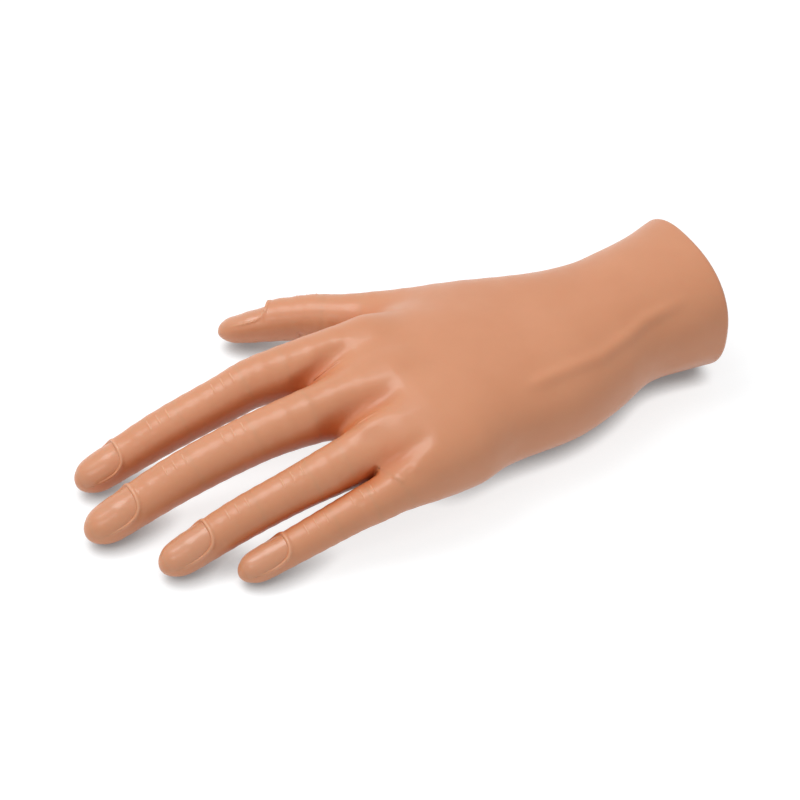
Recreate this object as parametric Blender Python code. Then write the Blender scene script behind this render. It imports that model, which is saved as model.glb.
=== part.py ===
"""Nail practice hand: a left hand in soft skin, palm down, with wires that let its fingers bend.

Sizes are in millimetres in the hand's own frame and turn into metres where a mesh is made.
The wrist's end lies at x = 0, the fingers point along -X, the thumb along +Y, and +Z is up.
The hand rests on z = 0 with its wrist rim and its fingertips.
"""
import math
from dataclasses import dataclass

import bmesh
import bpy
import numpy as np

MM = 0.001
TINY = 0.001
EMPTY_SIZE = 5.0
SHARP_ANGLE = 40.0

# Skin and foam
SKIN_WALL = 4.0
FOAM_CLEARANCE = 0.5
HOLLOW_END = -122.0
PALM_CELL = 2.2
PALM_THINNING = 0.16
PAST_WRIST = 6.0
PALM_MARGIN = 12.0
PALM_TIP_ROUNDING = 14.0
PALM_TIP_INSET = 2.0
PALM_SIDES = 28
CORE_RINGS = 13
FINGER_BLEND = 9.0
THUMB_BLEND = 14.0
WEB_BLEND = 5.0
WEB_REACH = 12.0
WEB_BACK = 7.0
GAP_BLEND = 0.4
BONE_BLEND = 1.5
RING_POINTS = 18
STEPS_PER_BONE = 3
CAP_RINGS = 4
CAP_ANGLE = 80.0
RAY_REACH = 1.35
MARCH_STEPS = 16
BISECTIONS = 12

# Bends
BEND_GAP = 0.3
BEND_MARGIN = 1.5
ROOT_FLEX, ROOT_EXTEND = 30.0, 12.0
MIDDLE_FLEX, MIDDLE_EXTEND = 45.0, 8.0
END_FLEX, END_EXTEND = 35.0, 8.0
CUT_MARGIN = 2.5
CUT_PAST = 1.0

# Wires and the sleeve that gathers them
WIRE_RADIUS = 1.0
WIRE_CLEARANCE = 0.3
WIRE_SIDES = 8
WIRE_STOP = 3.0
FERRULE_LENGTH = 14.0
FERRULE_WALL = 1.2
SLEEVE_SIDES = 16
FERRULE_FRONT = -28.0
FERRULE_HEIGHT = 23.0
WIRE_TAIL = 4.0
WIRE_STEPS = 2
SLOT_RADIUS = 2.1
SLOTS = (0, 1, 4, 2, 3)

# Plug in the wrist
PLUG_THICKNESS = 5.0
PLUG_RECESS = 1.5
PLUG_CLEARANCE = 0.4

# Nails
NAIL_THICKNESS = 1.0
NAIL_PROUD = 0.25
NAIL_CLEARANCE = 0.3
NAIL_LIFT = 6.0
NAIL_FULLNESS = 2.4
NAIL_ROWS = 9
NAIL_COLUMNS = 7
NAIL_END_TURN = 0.07
POCKET_TOP = 3.0
POCKET_RUN = 5.0


@dataclass
class Section:
    """One cross-section of the palm and wrist, as a rounded oval."""
    x: float
    centre: float
    half_width: float
    bottom: float
    top: float
    fullness: float


SECTIONS = [
    Section(-140, -11.0, 31.5, 14.0, 31.0, 2.2),
    Section(-126, -10.3, 36.0, 9.0, 36.5, 2.4),
    Section(-110, -7.6, 38.0, 4.0, 39.5, 2.5),
    Section(-90, -5.5, 36.5, 2.0, 40.5, 2.4),
    Section(-62, -6.5, 33.0, 1.0, 40.5, 2.25),
    Section(-45, -4.2, 29.6, 1.0, 41.0, 2.2),
    Section(-30, -1.0, 27.0, 2.5, 42.8, 2.15),
    Section(-12, 0.5, 27.5, 1.5, 45.0, 2.25),
    Section(0, 2.2, 28.8, 0.0, 46.8, 2.4),
    Section(12, 3.0, 30.0, -1.0, 48.0, 2.4),
]


@dataclass
class Bone:
    """A stretch of a digit up to its next bend, with the half sizes of the skin at its far end."""
    length: float
    heading: float
    droop: float
    half_width: float
    half_height: float
    bend: str = ""


@dataclass
class Digit:
    """A finger or the thumb, from its knuckle inside the palm to the centre of its tip."""
    name: str
    knuckle: tuple
    half_width: float
    half_height: float
    bones: list
    lean: float
    root_yaw: float
    nail_length: float
    nail_width: float
    nail_from_tip: float


DIGITS = [
    Digit("thumb", (-50, 11, 20), 13.0, 12.5, [
        Bone(30.0, 30.0, 0.0, 12.5, 12.0),
        Bone(40.0, 33.5, 6.5, 9.0, 8.6),
        Bone(18.0, 35.5, 7.5, 8.2, 7.8, "root"),
        Bone(24.5, 26.0, 13.0, 6.9, 4.9, "end"),
    ], 45.0, 0.0, 19.0, 12.0, 0.6),
    Digit("index", (-118, 17, 27.5), 11.5, 11.2, [
        Bone(36.0, 4.6, 1.9, 8.6, 8.4),
        Bone(15.4, 1.9, 14.0, 7.8, 7.6, "root"),
        Bone(24.1, 1.2, 17.0, 7.4, 7.1, "middle"),
        Bone(25.6, -1.4, 19.5, 6.4, 5.9, "end"),
    ], 0.0, 0.0, 16.8, 11.8, 0.5),
    Digit("middle", (-120, -3.5, 27), 11.5, 11.2, [
        Bone(36.0, 0.0, 2.4, 8.7, 8.4),
        Bone(19.9, 4.6, 13.5, 8.1, 7.8, "root"),
        Bone(21.8, 0.8, 16.0, 7.7, 7.3, "middle"),
        Bone(25.3, -3.0, 18.5, 6.8, 6.2, "end"),
    ], 0.0, 0.0, 19.0, 12.4, 0.5),
    Digit("ring", (-116, -22, 25), 11.0, 10.6, [
        Bone(36.0, -7.2, 4.5, 7.9, 7.7),
        Bone(13.4, 1.5, 15.0, 7.1, 6.9, "root"),
        Bone(19.6, 0.9, 16.2, 6.8, 6.5, "middle"),
        Bone(22.1, -2.4, 18.0, 6.1, 5.6, "end"),
    ], 0.0, 0.0, 18.4, 11.2, 0.5),
    Digit("little", (-108, -34.5, 21.5), 9.8, 9.4, [
        Bone(30.9, -11.2, 5.6, 7.2, 7.0),
        Bone(10.0, 2.3, 16.5, 6.4, 6.2, "root"),
        Bone(15.8, -0.4, 15.2, 5.9, 5.6, "middle"),
        Bone(21.4, 0.5, 16.0, 5.4, 4.9, "end"),
    ], 0.0, 15.0, 17.3, 9.8, 0.4),
]

SKIN = ("skin", (0.74, 0.36, 0.20), 0.35, 0.0)
NAIL = ("nail", (0.78, 0.42, 0.27), 0.22, 0.0)
ALUMINIUM = ("aluminium wire", (0.72, 0.72, 0.73), 0.35, 1.0)
BRASS = ("brass sleeve", (0.70, 0.50, 0.22), 0.35, 1.0)
FOAM = ("foam", (0.86, 0.80, 0.66), 0.9, 0.0)
PLUG = ("plug", (0.66, 0.32, 0.18), 0.5, 0.0)

FLEX = {"root": ROOT_FLEX, "middle": MIDDLE_FLEX, "end": END_FLEX}
EXTEND = {"root": ROOT_EXTEND, "middle": MIDDLE_EXTEND, "end": END_EXTEND}


def unit(vector):
    return np.asarray(vector, float) / np.linalg.norm(vector)


def smooth_min(a, b, reach):
    share = np.maximum(reach - np.abs(a - b), 0.0) / reach
    return np.minimum(a, b) - share * share * reach / 4


def smooth_max(a, b, reach):
    return -smooth_min(-a, -b, reach)


def hermite(knots, values, at):
    """A smooth curve through values at rising knots, held level past the ends."""
    knots, values = np.asarray(knots, float), np.asarray(values, float)
    slopes = np.gradient(values, knots, axis=0)
    at = np.clip(at, knots[0], knots[-1])
    i = np.clip(np.searchsorted(knots, at) - 1, 0, len(knots) - 2)
    step = (knots[i + 1] - knots[i])[:, None]
    t = (at - knots[i])[:, None] / step
    return ((1 + 2 * t) * (1 - t) ** 2 * values[i] + t * (1 - t) ** 2 * step * slopes[i]
            + t * t * (3 - 2 * t) * values[i + 1] + t * t * (t - 1) * step * slopes[i + 1])


def section_at(x):
    """Centre y, centre z, half width, half height and fullness of the palm at each x."""
    rows = [(s.centre, (s.bottom + s.top) / 2, s.half_width, (s.top - s.bottom) / 2, s.fullness)
            for s in SECTIONS]
    return hermite([s.x for s in SECTIONS], rows, np.asarray(x, float)).T


def joints_of(digit):
    """The knuckle, every bend and the tip centre of a digit."""
    points = [np.array(digit.knuckle, float)]
    for bone in digit.bones:
        heading, droop = math.radians(bone.heading), math.radians(bone.droop)
        step = (-math.cos(heading) * math.cos(droop), math.sin(heading) * math.cos(droop), -math.sin(droop))
        points.append(points[-1] + bone.length * np.array(step))
    return points


def spine(digit, steps=STEPS_PER_BONE):
    """Points, half widths and half heights along a digit, with this many steps to a bone."""
    points = joints_of(digit)
    widths = [digit.half_width] + [bone.half_width for bone in digit.bones]
    heights = [digit.half_height] + [bone.half_height for bone in digit.bones]
    knots = np.arange(len(points))
    at = np.linspace(0, len(digit.bones), len(digit.bones) * steps + 1)
    rows = np.column_stack([points, widths, heights])
    smooth = hermite(knots, rows, at)
    return smooth[:, :3], smooth[:, 3], smooth[:, 4]


def frame_of(digit, direction):
    """Unit vectors along a digit, to its thumb side and out of its nail side."""
    lean = math.radians(digit.lean)
    along = unit(direction)
    side = unit(np.cross(along, (0, math.sin(lean), math.cos(lean))))
    return along, side, np.cross(side, along)


def limb(points, start, end, widths, heights, digit):
    """Distance to a tapering limb between two points."""
    along, side, out = frame_of(digit, end - start)
    length = np.linalg.norm(end - start)
    from_start = points - start
    share = np.clip(from_start @ along / length, 0, 1)
    off = from_start - np.outer(share * length, along)
    width = widths[0] + (widths[1] - widths[0]) * share
    height = heights[0] + (heights[1] - heights[0]) * share
    lift = off @ out
    flat = np.sum(off * off, axis=1) - lift * lift
    return np.sqrt(flat + (lift * width / height) ** 2) - width


def digit_field(points, digit, bones):
    centres, widths, heights = spine(digit)
    field = None
    for i in range(bones * STEPS_PER_BONE):
        part = limb(points, centres[i], centres[i + 1], widths[i:i + 2], heights[i:i + 2], digit)
        field = part if field is None else smooth_min(field, part, BONE_BLEND)
    return field


def palm_field(points):
    x = points[:, 0]
    centre_y, centre_z, half_width, half_height, fullness = section_at(x)
    y, z = points[:, 1] - centre_y, points[:, 2] - centre_z
    rim = (np.abs(y / half_width) ** fullness + np.abs(z / half_height) ** fullness) ** (1 / fullness)
    body = np.hypot(y, z) * (1 - 1 / np.maximum(rim, TINY))
    body = np.maximum(body, -np.minimum(half_width, half_height))
    return smooth_max(body, SECTIONS[0].x + PALM_TIP_INSET - x, PALM_TIP_ROUNDING)


def hand_field(points, bones=None):
    """Below zero inside the hand; bones limits how many stretches of each finger count."""
    thumb, *rest = DIGITS
    fingers = digit_field(points, rest[0], bones or len(rest[0].bones))
    for near, far in zip(rest, rest[1:]):
        web = (joints_of(near)[1][0] + joints_of(far)[1][0]) / 2 + WEB_BACK
        share = np.clip((points[:, 0] - web) / WEB_REACH + 0.5, 0, 1)
        part = digit_field(points, far, bones or len(far.bones))
        fingers = smooth_min(fingers, part, GAP_BLEND + (WEB_BLEND - GAP_BLEND) * share)
    field = smooth_min(palm_field(points), fingers, FINGER_BLEND)
    thumb_part = digit_field(points, thumb, bones + 1 if bones else len(thumb.bones))
    return smooth_min(field, thumb_part, THUMB_BLEND)


def net_mesh(field, low, high, cell):
    """Points and outward quads of the field's zero surface on a grid of cells."""
    low = np.asarray(low, float)
    count = np.ceil((np.asarray(high) - low) / cell).astype(int) + 1
    axes = [low[i] + cell * np.arange(count[i]) for i in range(3)]
    grid = np.stack(np.meshgrid(*axes, indexing="ij"), -1)
    values = field(grid.reshape(-1, 3)).reshape(count)
    cells = count - 1
    crossings = np.zeros(cells, int)
    total = np.zeros(tuple(cells) + (3,))
    corners = [(i, j, k) for i in (0, 1) for j in (0, 1) for k in (0, 1)]
    for axis in range(3):
        for corner in corners:
            if corner[axis]:
                continue
            beyond = tuple(corner[i] + (i == axis) for i in range(3))
            first = values[tuple(slice(corner[i], corner[i] + cells[i]) for i in range(3))]
            second = values[tuple(slice(beyond[i], beyond[i] + cells[i]) for i in range(3))]
            crossed = (first < 0) != (second < 0)
            share = np.where(crossed, first / np.where(crossed, first - second, 1), 0)
            for i in range(3):
                total[..., i] += np.where(crossed, corner[i] + (share if i == axis else 0), 0)
            crossings += crossed
    used = crossings > 0
    number = -np.ones(cells, int)
    number[used] = np.arange(used.sum())
    points = low + cell * (np.argwhere(used) + total[used] / crossings[used][:, None])
    faces = []
    for axis in range(3):
        one, two = (axis + 1) % 3, (axis + 2) % 3
        short = [count[i] - (i == axis) for i in range(3)]
        first = values[tuple(slice(0, short[i]) for i in range(3))] < 0
        second = values[tuple(slice(int(i == axis), short[i] + (i == axis)) for i in range(3))] < 0
        edges = np.argwhere(first != second)
        inside = first[tuple(edges.T)]
        ring = []
        for back_one, back_two in ((1, 1), (0, 1), (0, 0), (1, 0)):
            cell_at = edges.copy()
            cell_at[:, one] -= back_one
            cell_at[:, two] -= back_two
            ring.append(number[tuple(cell_at.T)])
        quads = np.stack(ring, 1)
        quads[~inside] = quads[~inside][:, ::-1]
        faces.append(quads)
    return onto_surface(field, points), np.concatenate(faces)


def onto_surface(field, points, rounds=3, step=0.05):
    """Move points along the field's gradient until they lie on its zero surface."""
    for _ in range(rounds):
        value = field(points)
        slope = np.stack([(field(points + step * axis) - value) / step for axis in np.eye(3)], 1)
        points = points - slope * (value / np.maximum(np.sum(slope * slope, axis=1), TINY))[:, None]
    return points


def reach_surface(field, origins, directions, limit):
    """Distance from each origin to the first surface along its direction, at most the limit."""
    limit = np.broadcast_to(np.asarray(limit, float), len(origins))
    far = limit.copy()
    found = np.zeros(len(origins), bool)
    for share in np.arange(1, MARCH_STEPS + 1) / MARCH_STEPS:
        outside = field(origins + directions * (share * limit)[:, None]) >= 0
        far = np.where(outside & ~found, share * limit, far)
        found |= outside
    near = far - limit / MARCH_STEPS
    for _ in range(BISECTIONS):
        middle = (near + far) / 2
        inside = field(origins + directions * middle[:, None]) < 0
        near, far = np.where(inside, middle, near), np.where(inside, far, middle)
    return (near + far) / 2


def material_of(look):
    name, colour, roughness, metallic = look
    material = bpy.data.materials.get(name)
    if material is None:
        material = bpy.data.materials.new(name)
        material.use_nodes = True
        shader = material.node_tree.nodes["Principled BSDF"]
        shader.inputs["Base Color"].default_value = (*colour, 1.0)
        shader.inputs["Roughness"].default_value = roughness
        shader.inputs["Metallic"].default_value = metallic
        material.diffuse_color = (*colour, 1.0)
    return material


def solid(name, points, faces, look, parent, origin=(0, 0, 0)):
    """A closed mesh object whose points are in the hand's frame and whose origin is given."""
    mesh = bpy.data.meshes.new(name)
    origin = np.asarray(origin, float)
    mesh.from_pydata(((np.asarray(points) - origin) * MM).tolist(), [], [list(map(int, f)) for f in faces])
    shape = bmesh.new()
    shape.from_mesh(mesh)
    bmesh.ops.recalc_face_normals(shape, faces=shape.faces)
    shape.to_mesh(mesh)
    shape.free()
    mesh.shade_smooth()
    mesh.set_sharp_from_angle(angle=math.radians(SHARP_ANGLE))
    mesh.materials.append(material_of(look))
    thing = bpy.data.objects.new(name, mesh)
    bpy.context.collection.objects.link(thing)
    return placed(thing, parent, origin)


def placed(thing, parent, origin):
    """Parent an object and set its location from its origin in the hand's frame."""
    thing["origin"] = [float(v) for v in origin]
    base = np.array(parent["origin"]) if parent else np.zeros(3)
    thing.parent = parent
    thing.location = ((np.asarray(origin, float) - base) * MM).tolist()
    return thing


def empty(name, parent, origin):
    thing = bpy.data.objects.new(name, None)
    thing.empty_display_size = EMPTY_SIZE * MM
    bpy.context.collection.objects.link(thing)
    return placed(thing, parent, origin)


def cutter(name, points, faces, parent):
    thing = solid(name, points, faces, SKIN, parent)
    thing.hide_render = True
    thing.display_type = "WIRE"
    return thing


def boolean(thing, other, operation="DIFFERENCE"):
    modifier = thing.modifiers.new(f"{operation.lower()} {other.name}", "BOOLEAN")
    modifier.operation = operation
    modifier.object = other


def loft(rings):
    """Points and faces of a solid through rings of equal length, with flat ends."""
    rings = np.asarray(rings)
    count, size = rings.shape[:2]
    faces = []
    for i in range(count - 1):
        for j in range(size):
            k = (j + 1) % size
            faces.append((i * size + j, i * size + k, (i + 1) * size + k, (i + 1) * size + j))
    faces.append(tuple(reversed(range(size))))
    faces.append(tuple(range((count - 1) * size, count * size)))
    return rings.reshape(-1, 3), faces


def circle(sides):
    turn = 2 * math.pi * np.arange(sides) / sides
    return np.cos(turn), np.sin(turn)


def tube(path, radius, sides=WIRE_SIDES):
    """A round solid along a path, its rings turned the same way throughout."""
    path = np.asarray(path)
    tangents = np.gradient(path, axis=0)
    across, over = circle(sides)
    rings = []
    for point, tangent in zip(path, tangents):
        side = unit(np.cross(tangent, (0, 0, 1)))
        up = np.cross(side, unit(tangent))
        rings.append(point + radius * (np.outer(across, up) + np.outer(over, side)))
    return loft(rings)


def palm_ring(x, inset, points=PALM_SIDES):
    """The palm's section at x, drawn in by a wall."""
    centre_y, centre_z, half_width, half_height, fullness = section_at([x])[:, 0]
    across, over = circle(points)
    y = centre_y + (half_width - inset) * np.sign(across) * np.abs(across) ** (2 / fullness)
    z = centre_z + (half_height - inset) * np.sign(over) * np.abs(over) ** (2 / fullness)
    return np.column_stack([np.full(points, x), y, z])


def palm_core(start, end, inset, rings=CORE_RINGS):
    """The palm's inner shape from one x to another, drawn in by a wall."""
    return loft([palm_ring(x, inset) for x in np.linspace(start, end, rings)])


def bend_side(digit, number):
    """Unit vectors at a bend: along the digit, its turned axis, out of the nail side, its plain side."""
    points = joints_of(digit)
    along = unit(unit(points[number + 1] - points[number]) + unit(points[number] - points[number - 1]))
    along, side, out = frame_of(digit, along)
    return along, side + math.tan(root_yaw(digit, number)) * along, out, side


def root_yaw(digit, number):
    return math.radians(digit.root_yaw if digit.bones[number].bend == "root" else 0.0)


def bend_rays(digit, number, toward, reach):
    """Corners below, at and above a bend on the side of a cut that lies toward +1 or -1."""
    point = joints_of(digit)[number]
    along, _, out, _ = bend_side(digit, number)
    bend = digit.bones[number].bend
    slant = math.cos(root_yaw(digit, number))
    low = math.tan(math.radians(FLEX[bend] / 2 + BEND_MARGIN)) / slant
    high = math.tan(math.radians(EXTEND[bend] / 2 + BEND_MARGIN)) / slant
    apex = point + toward * along * BEND_GAP / 2
    return [apex + reach * (toward * along * low - out), apex, apex + reach * (toward * along * high + out)]


def prism(outline_near, outline_far):
    """A solid between two outlines of equal length."""
    count = len(outline_near)
    faces = [(j, (j + 1) % count, count + (j + 1) % count, count + j) for j in range(count)]
    faces.append(tuple(reversed(range(count))))
    faces.append(tuple(range(count, 2 * count)))
    return np.vstack([outline_near, outline_far]), faces


def side_reaches(digit, number, reach):
    """How far a digit's own space goes to its little and thumb sides, at most to the middle of a gap."""
    fingers = DIGITS[1:]
    if digit not in fingers or digit.bones[number].bend != "root":
        return reach, reach
    place = fingers.index(digit)
    own = digit.bones[0].half_width
    reaches = []
    for other in (place + 1, place - 1):
        if not 0 <= other < len(fingers):
            reaches.append(reach)
            continue
        apart = abs(joints_of(digit)[1][1] - joints_of(fingers[other])[1][1])
        reaches.append((apart + own - fingers[other].bones[0].half_width) / 2)
    return reaches


def bone_region(digit, number):
    """The space between a bend and the next one, or the tip."""
    size = max(bone.half_width for bone in digit.bones[number - 1:])
    reach = size + CUT_MARGIN
    start_side = bend_side(digit, number)[1]
    start = bend_rays(digit, number, 1, reach)
    to_little, to_thumb = side_reaches(digit, number, reach)
    if number + 1 < len(digit.bones):
        end = bend_rays(digit, number + 1, -1, reach)
        end_side = bend_side(digit, number + 1)[1]
    else:
        tip, last = joints_of(digit)[-1], joints_of(digit)[-2]
        along, end_side, out = frame_of(digit, tip - last)
        end = [tip + along * reach + out * reach * level for level in (-1, 0, 1)]
    to_little, to_thumb = to_little - BEND_GAP, to_thumb - BEND_GAP
    shift = (joints_of(digit)[number + 1] - joints_of(digit)[number]) @ bend_side(digit, number)[3]
    flex = math.radians(FLEX[digit.bones[number].bend])
    sway = digit.bones[number - 1].half_height * math.sin(root_yaw(digit, number)) * math.sin(flex)
    near = [p - start_side * (to_little - sway) for p in start]
    near += [p - end_side * (to_little + shift) for p in end[::-1]]
    far = [p + start_side * (to_thumb - sway) for p in start]
    far += [p + end_side * (to_thumb - shift) for p in end[::-1]]
    return prism(near, far)


def root_region(digit, number):
    """The space beyond a digit's root bend, which the palm's skin leaves free."""
    size = digit.bones[number - 1].half_width + CUT_MARGIN
    along, side, out, _ = bend_side(digit, number)
    start = bend_rays(digit, number, -1, size)
    far_end = joints_of(digit)[number] + along * (size + CUT_MARGIN)
    end = [far_end + out * size * level for level in (1, 0, -1)]
    to_little, to_thumb = side_reaches(digit, number, size)
    outline = start + end
    return prism([p - side * to_little for p in outline], [p + side * to_thumb for p in outline])


def digit_skin(digit, number):
    """The whole skin of a digit from just before its root bend, as a loft with a rounded tip."""
    steps = STEPS_PER_BONE + 1
    centres, widths, _ = spine(digit, steps)
    tangents = np.gradient(centres, axis=0)
    first = number * steps - 1
    across, over = circle(RING_POINTS)
    rings = []
    for centre, tangent, width in zip(centres[first:], tangents[first:], widths[first:]):
        _, side, out = frame_of(digit, tangent)
        rings.append((centre, np.outer(across, out) + np.outer(over, side), width))
    along = unit(tangents[-1])
    flat = rings[-1][1]
    for turn in range(1, CAP_RINGS + 1):
        lift = math.radians(CAP_ANGLE * turn / CAP_RINGS)
        rings.append((centres[-1], math.cos(lift) * flat + math.sin(lift) * along, widths[-1]))
    origins = np.repeat([ring[0] for ring in rings], RING_POINTS, axis=0)
    directions = np.concatenate([ring[1] for ring in rings])
    limits = np.repeat([RAY_REACH * ring[2] for ring in rings], RING_POINTS)
    points = origins + directions * reach_surface(hand_field, origins, directions, limits)[:, None]
    return loft(points.reshape(len(rings), RING_POINTS, 3))


def wire_path(digit, slot):
    """From the wire's tail behind the sleeve, through its slot and the palm, towards the fingertip."""
    turn = 2 * math.pi * slot / len(DIGITS)
    y = SLOT_RADIUS * math.cos(turn)
    z = FERRULE_HEIGHT + SLOT_RADIUS * math.sin(turn)
    back = FERRULE_FRONT + FERRULE_LENGTH
    start = [(back + WIRE_TAIL, y, z), (back, y, z), (FERRULE_FRONT, y, z)]
    points = joints_of(digit)
    along = unit(points[-1] - points[-2])
    end = points[-1] - along * WIRE_STOP
    knots = np.vstack([start, points[:-1], end])
    distance = np.concatenate([[0], np.cumsum(np.linalg.norm(np.diff(knots, axis=0), axis=1))])
    at = [distance[0], distance[1]]
    for a, b in zip(distance[2:], distance[3:]):
        at += list(np.linspace(a, b, WIRE_STEPS, endpoint=False))
    return hermite(distance, knots, np.array(at + [distance[-1]]))


def nail_frame(digit):
    """The tip centre of a digit and unit vectors along, across and out of its nail."""
    points = joints_of(digit)
    return points[-1], *frame_of(digit, points[-1] - points[-2])


def nail_centre(digit):
    """How far the nail's middle lies from the tip centre along the digit."""
    return digit.bones[-1].half_width - digit.nail_from_tip - digit.nail_length / 2


def skin_height(digit, along_at, side_at):
    """Height of the skin over the digit's middle plane at places round its tip centre."""
    tip, along, side, out = nail_frame(digit)
    places = tip + np.outer(along_at, along) + np.outer(side_at, side)
    return reach_surface(hand_field, places, np.broadcast_to(out, places.shape),
                         RAY_REACH * digit.half_height)


def slab(digit, along_at, half_widths, low, high, height_at=None):
    """A curved plate over the fingertip between two heights from the skin."""
    tip, along, side, out = nail_frame(digit)
    s = np.repeat(along_at, NAIL_COLUMNS)
    t = np.concatenate([w * np.linspace(-1, 1, NAIL_COLUMNS) for w in half_widths])
    base = skin_height(digit, s if height_at is None else np.repeat(height_at, NAIL_COLUMNS), t)
    flat = tip + np.outer(s, along) + np.outer(t, side)
    points = np.vstack([flat + np.outer(base + low, out), flat + np.outer(base + high, out)])
    rows, columns = len(along_at), NAIL_COLUMNS
    top = rows * columns
    faces = []
    for i in range(rows - 1):
        for j in range(columns - 1):
            a = i * columns + j
            faces.append((a, a + 1, a + columns + 1, a + columns))
            faces.append((top + a, top + a + columns, top + a + columns + 1, top + a + 1))
    edge = [j for j in range(columns)] + [(i + 1) * columns - 1 for i in range(1, rows)]
    edge += [(rows - 1) * columns + j for j in range(columns - 2, -1, -1)]
    edge += [i * columns for i in range(rows - 2, 0, -1)]
    for a, b in zip(edge, edge[1:] + edge[:1]):
        faces.append((a, b, top + b, top + a))
    return points, faces


def nail_rows(digit):
    """Places along the nail and its half widths there, wide in the middle and round at both ends."""
    share = np.cos(np.linspace(1 - NAIL_END_TURN, NAIL_END_TURN, NAIL_ROWS) * math.pi)
    half_widths = digit.nail_width / 2 * (1 - np.abs(share) ** NAIL_FULLNESS) ** (1 / NAIL_FULLNESS)
    return nail_centre(digit) + digit.nail_length / 2 * share, half_widths


def nail_plate(digit):
    along_at, half_widths = nail_rows(digit)
    return slab(digit, along_at, half_widths, NAIL_PROUD - NAIL_THICKNESS, NAIL_PROUD)


def nail_pocket(digit):
    """The seat of a nail, open towards the fingertip so that the nail slides out."""
    along_at, half_widths = nail_rows(digit)
    widest = int(np.argmax(half_widths))
    along_at[0] -= NAIL_CLEARANCE
    half_widths[widest:] = half_widths[widest]
    height_at = np.append(along_at, along_at[-1])
    along_at = np.append(along_at, along_at[-1] + POCKET_RUN)
    half_widths = np.append(half_widths, half_widths[-1]) + NAIL_CLEARANCE
    low = NAIL_PROUD - NAIL_THICKNESS - NAIL_CLEARANCE
    return slab(digit, along_at, half_widths, low, POCKET_TOP, height_at)


def nail_axis(digit):
    _, along, _, out = nail_frame(digit)
    return unit(along * math.cos(math.radians(NAIL_LIFT)) + out * math.sin(math.radians(NAIL_LIFT)))


def build_palm(root, bores):
    def closed(points):
        return np.maximum(hand_field(points, bones=1), points[:, 0] - PAST_WRIST)

    reach = [joint for digit in DIGITS for joint in joints_of(digit)[:4]]
    low = np.min(reach, axis=0) - PALM_MARGIN
    high = np.max(reach, axis=0) + PALM_MARGIN
    low[1] = min(s.centre - s.half_width for s in SECTIONS) - PALM_MARGIN
    low[2] = min(s.bottom for s in SECTIONS) - PALM_MARGIN
    high[2] = max(s.top for s in SECTIONS) + PALM_MARGIN
    high[0] = PAST_WRIST + PALM_MARGIN
    palm = solid("palm_skin", *net_mesh(closed, low, high, PALM_CELL), SKIN, root)
    thinning = palm.modifiers.new("fewer faces", "DECIMATE")
    thinning.ratio = PALM_THINNING
    half = 2 * max(s.top for s in SECTIONS)
    square = [(0.0, y * half, z * half) for y, z in ((-1, -1), (1, -1), (1, 1), (-1, 1))]
    past = [(2 * PAST_WRIST, y, z) for _, y, z in square]
    boolean(palm, cutter("cut wrist end", *prism(square, past), root))
    boolean(palm, cutter("cut hollow", *palm_core(HOLLOW_END, PAST_WRIST / 2, SKIN_WALL), root))
    for digit in DIGITS:
        number = next(i for i, bone in enumerate(digit.bones) if bone.bend)
        boolean(palm, cutter(f"cut {digit.name} root", *root_region(digit, number), root))
    for bore in bores:
        boolean(palm, bore)
    return palm


def build_digit(digit, palm, bore):
    """The skin stretches of one digit, each turning on the one before, and its nail."""
    number = next(i for i, bone in enumerate(digit.bones) if bone.bend)
    mesh = digit_skin(digit, number)
    parts = {"root": "base", "middle": "middle", "end": "tip"}
    parent = palm
    for i in range(number, len(digit.bones)):
        place = joints_of(digit)[i]
        name = f"{digit.name}_{parts[digit.bones[i].bend]}_skin"
        parent = solid(name, *mesh, SKIN, parent, place)
        region = cutter(f"keep {name}", *bone_region(digit, i), palm)
        boolean(parent, region, "INTERSECT")
        boolean(parent, bore)
    boolean(parent, cutter(f"cut {digit.name} nail seat", *nail_pocket(digit), palm))
    tip, along, _, _ = nail_frame(digit)
    place = tip + along * nail_centre(digit)
    solid(f"{digit.name}_nail", *nail_plate(digit), NAIL, parent, place)


def build_core(palm, paths):
    """The foam in the palm, the sleeve round the wires and the plug."""
    plug_back = -PLUG_RECESS - PLUG_THICKNESS
    foam_ends = HOLLOW_END + FOAM_CLEARANCE, plug_back - FOAM_CLEARANCE
    foam = solid("foam_core", *palm_core(*foam_ends, SKIN_WALL + FOAM_CLEARANCE), FOAM, palm)
    inner = SLOT_RADIUS + WIRE_RADIUS + WIRE_CLEARANCE
    outer = inner + FERRULE_WALL
    middle = np.array([0.0, 0.0, FERRULE_HEIGHT])
    front, back = FERRULE_FRONT, FERRULE_FRONT + FERRULE_LENGTH
    back_way = np.array([1.0, 0.0, 0.0])
    for name, path in paths.items():
        boolean(foam, cutter(f"cut {name} tunnel", *tube(path, WIRE_RADIUS + WIRE_CLEARANCE), palm))
    space = [middle + back_way * (front - WIRE_CLEARANCE), middle + back_way * (plug_back + CUT_PAST)]
    boolean(foam, cutter("cut sleeve space", *tube(space, outer + WIRE_CLEARANCE, SLEEVE_SIDES), palm))
    ends = [middle + back_way * front, middle + back_way * back]
    sleeve = solid("wire_ferrule", *tube(ends, outer, SLEEVE_SIDES), BRASS, palm, ends[0])
    bore = [middle + back_way * (front - CUT_PAST), middle + back_way * (back + CUT_PAST)]
    boolean(sleeve, cutter("cut sleeve bore", *tube(bore, inner, SLEEVE_SIDES), palm))
    plug = palm_core(plug_back, -PLUG_RECESS, SKIN_WALL + PLUG_CLEARANCE, rings=2)
    solid("wrist_plug", *plug, PLUG, palm, middle + back_way * plug_back)


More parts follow.
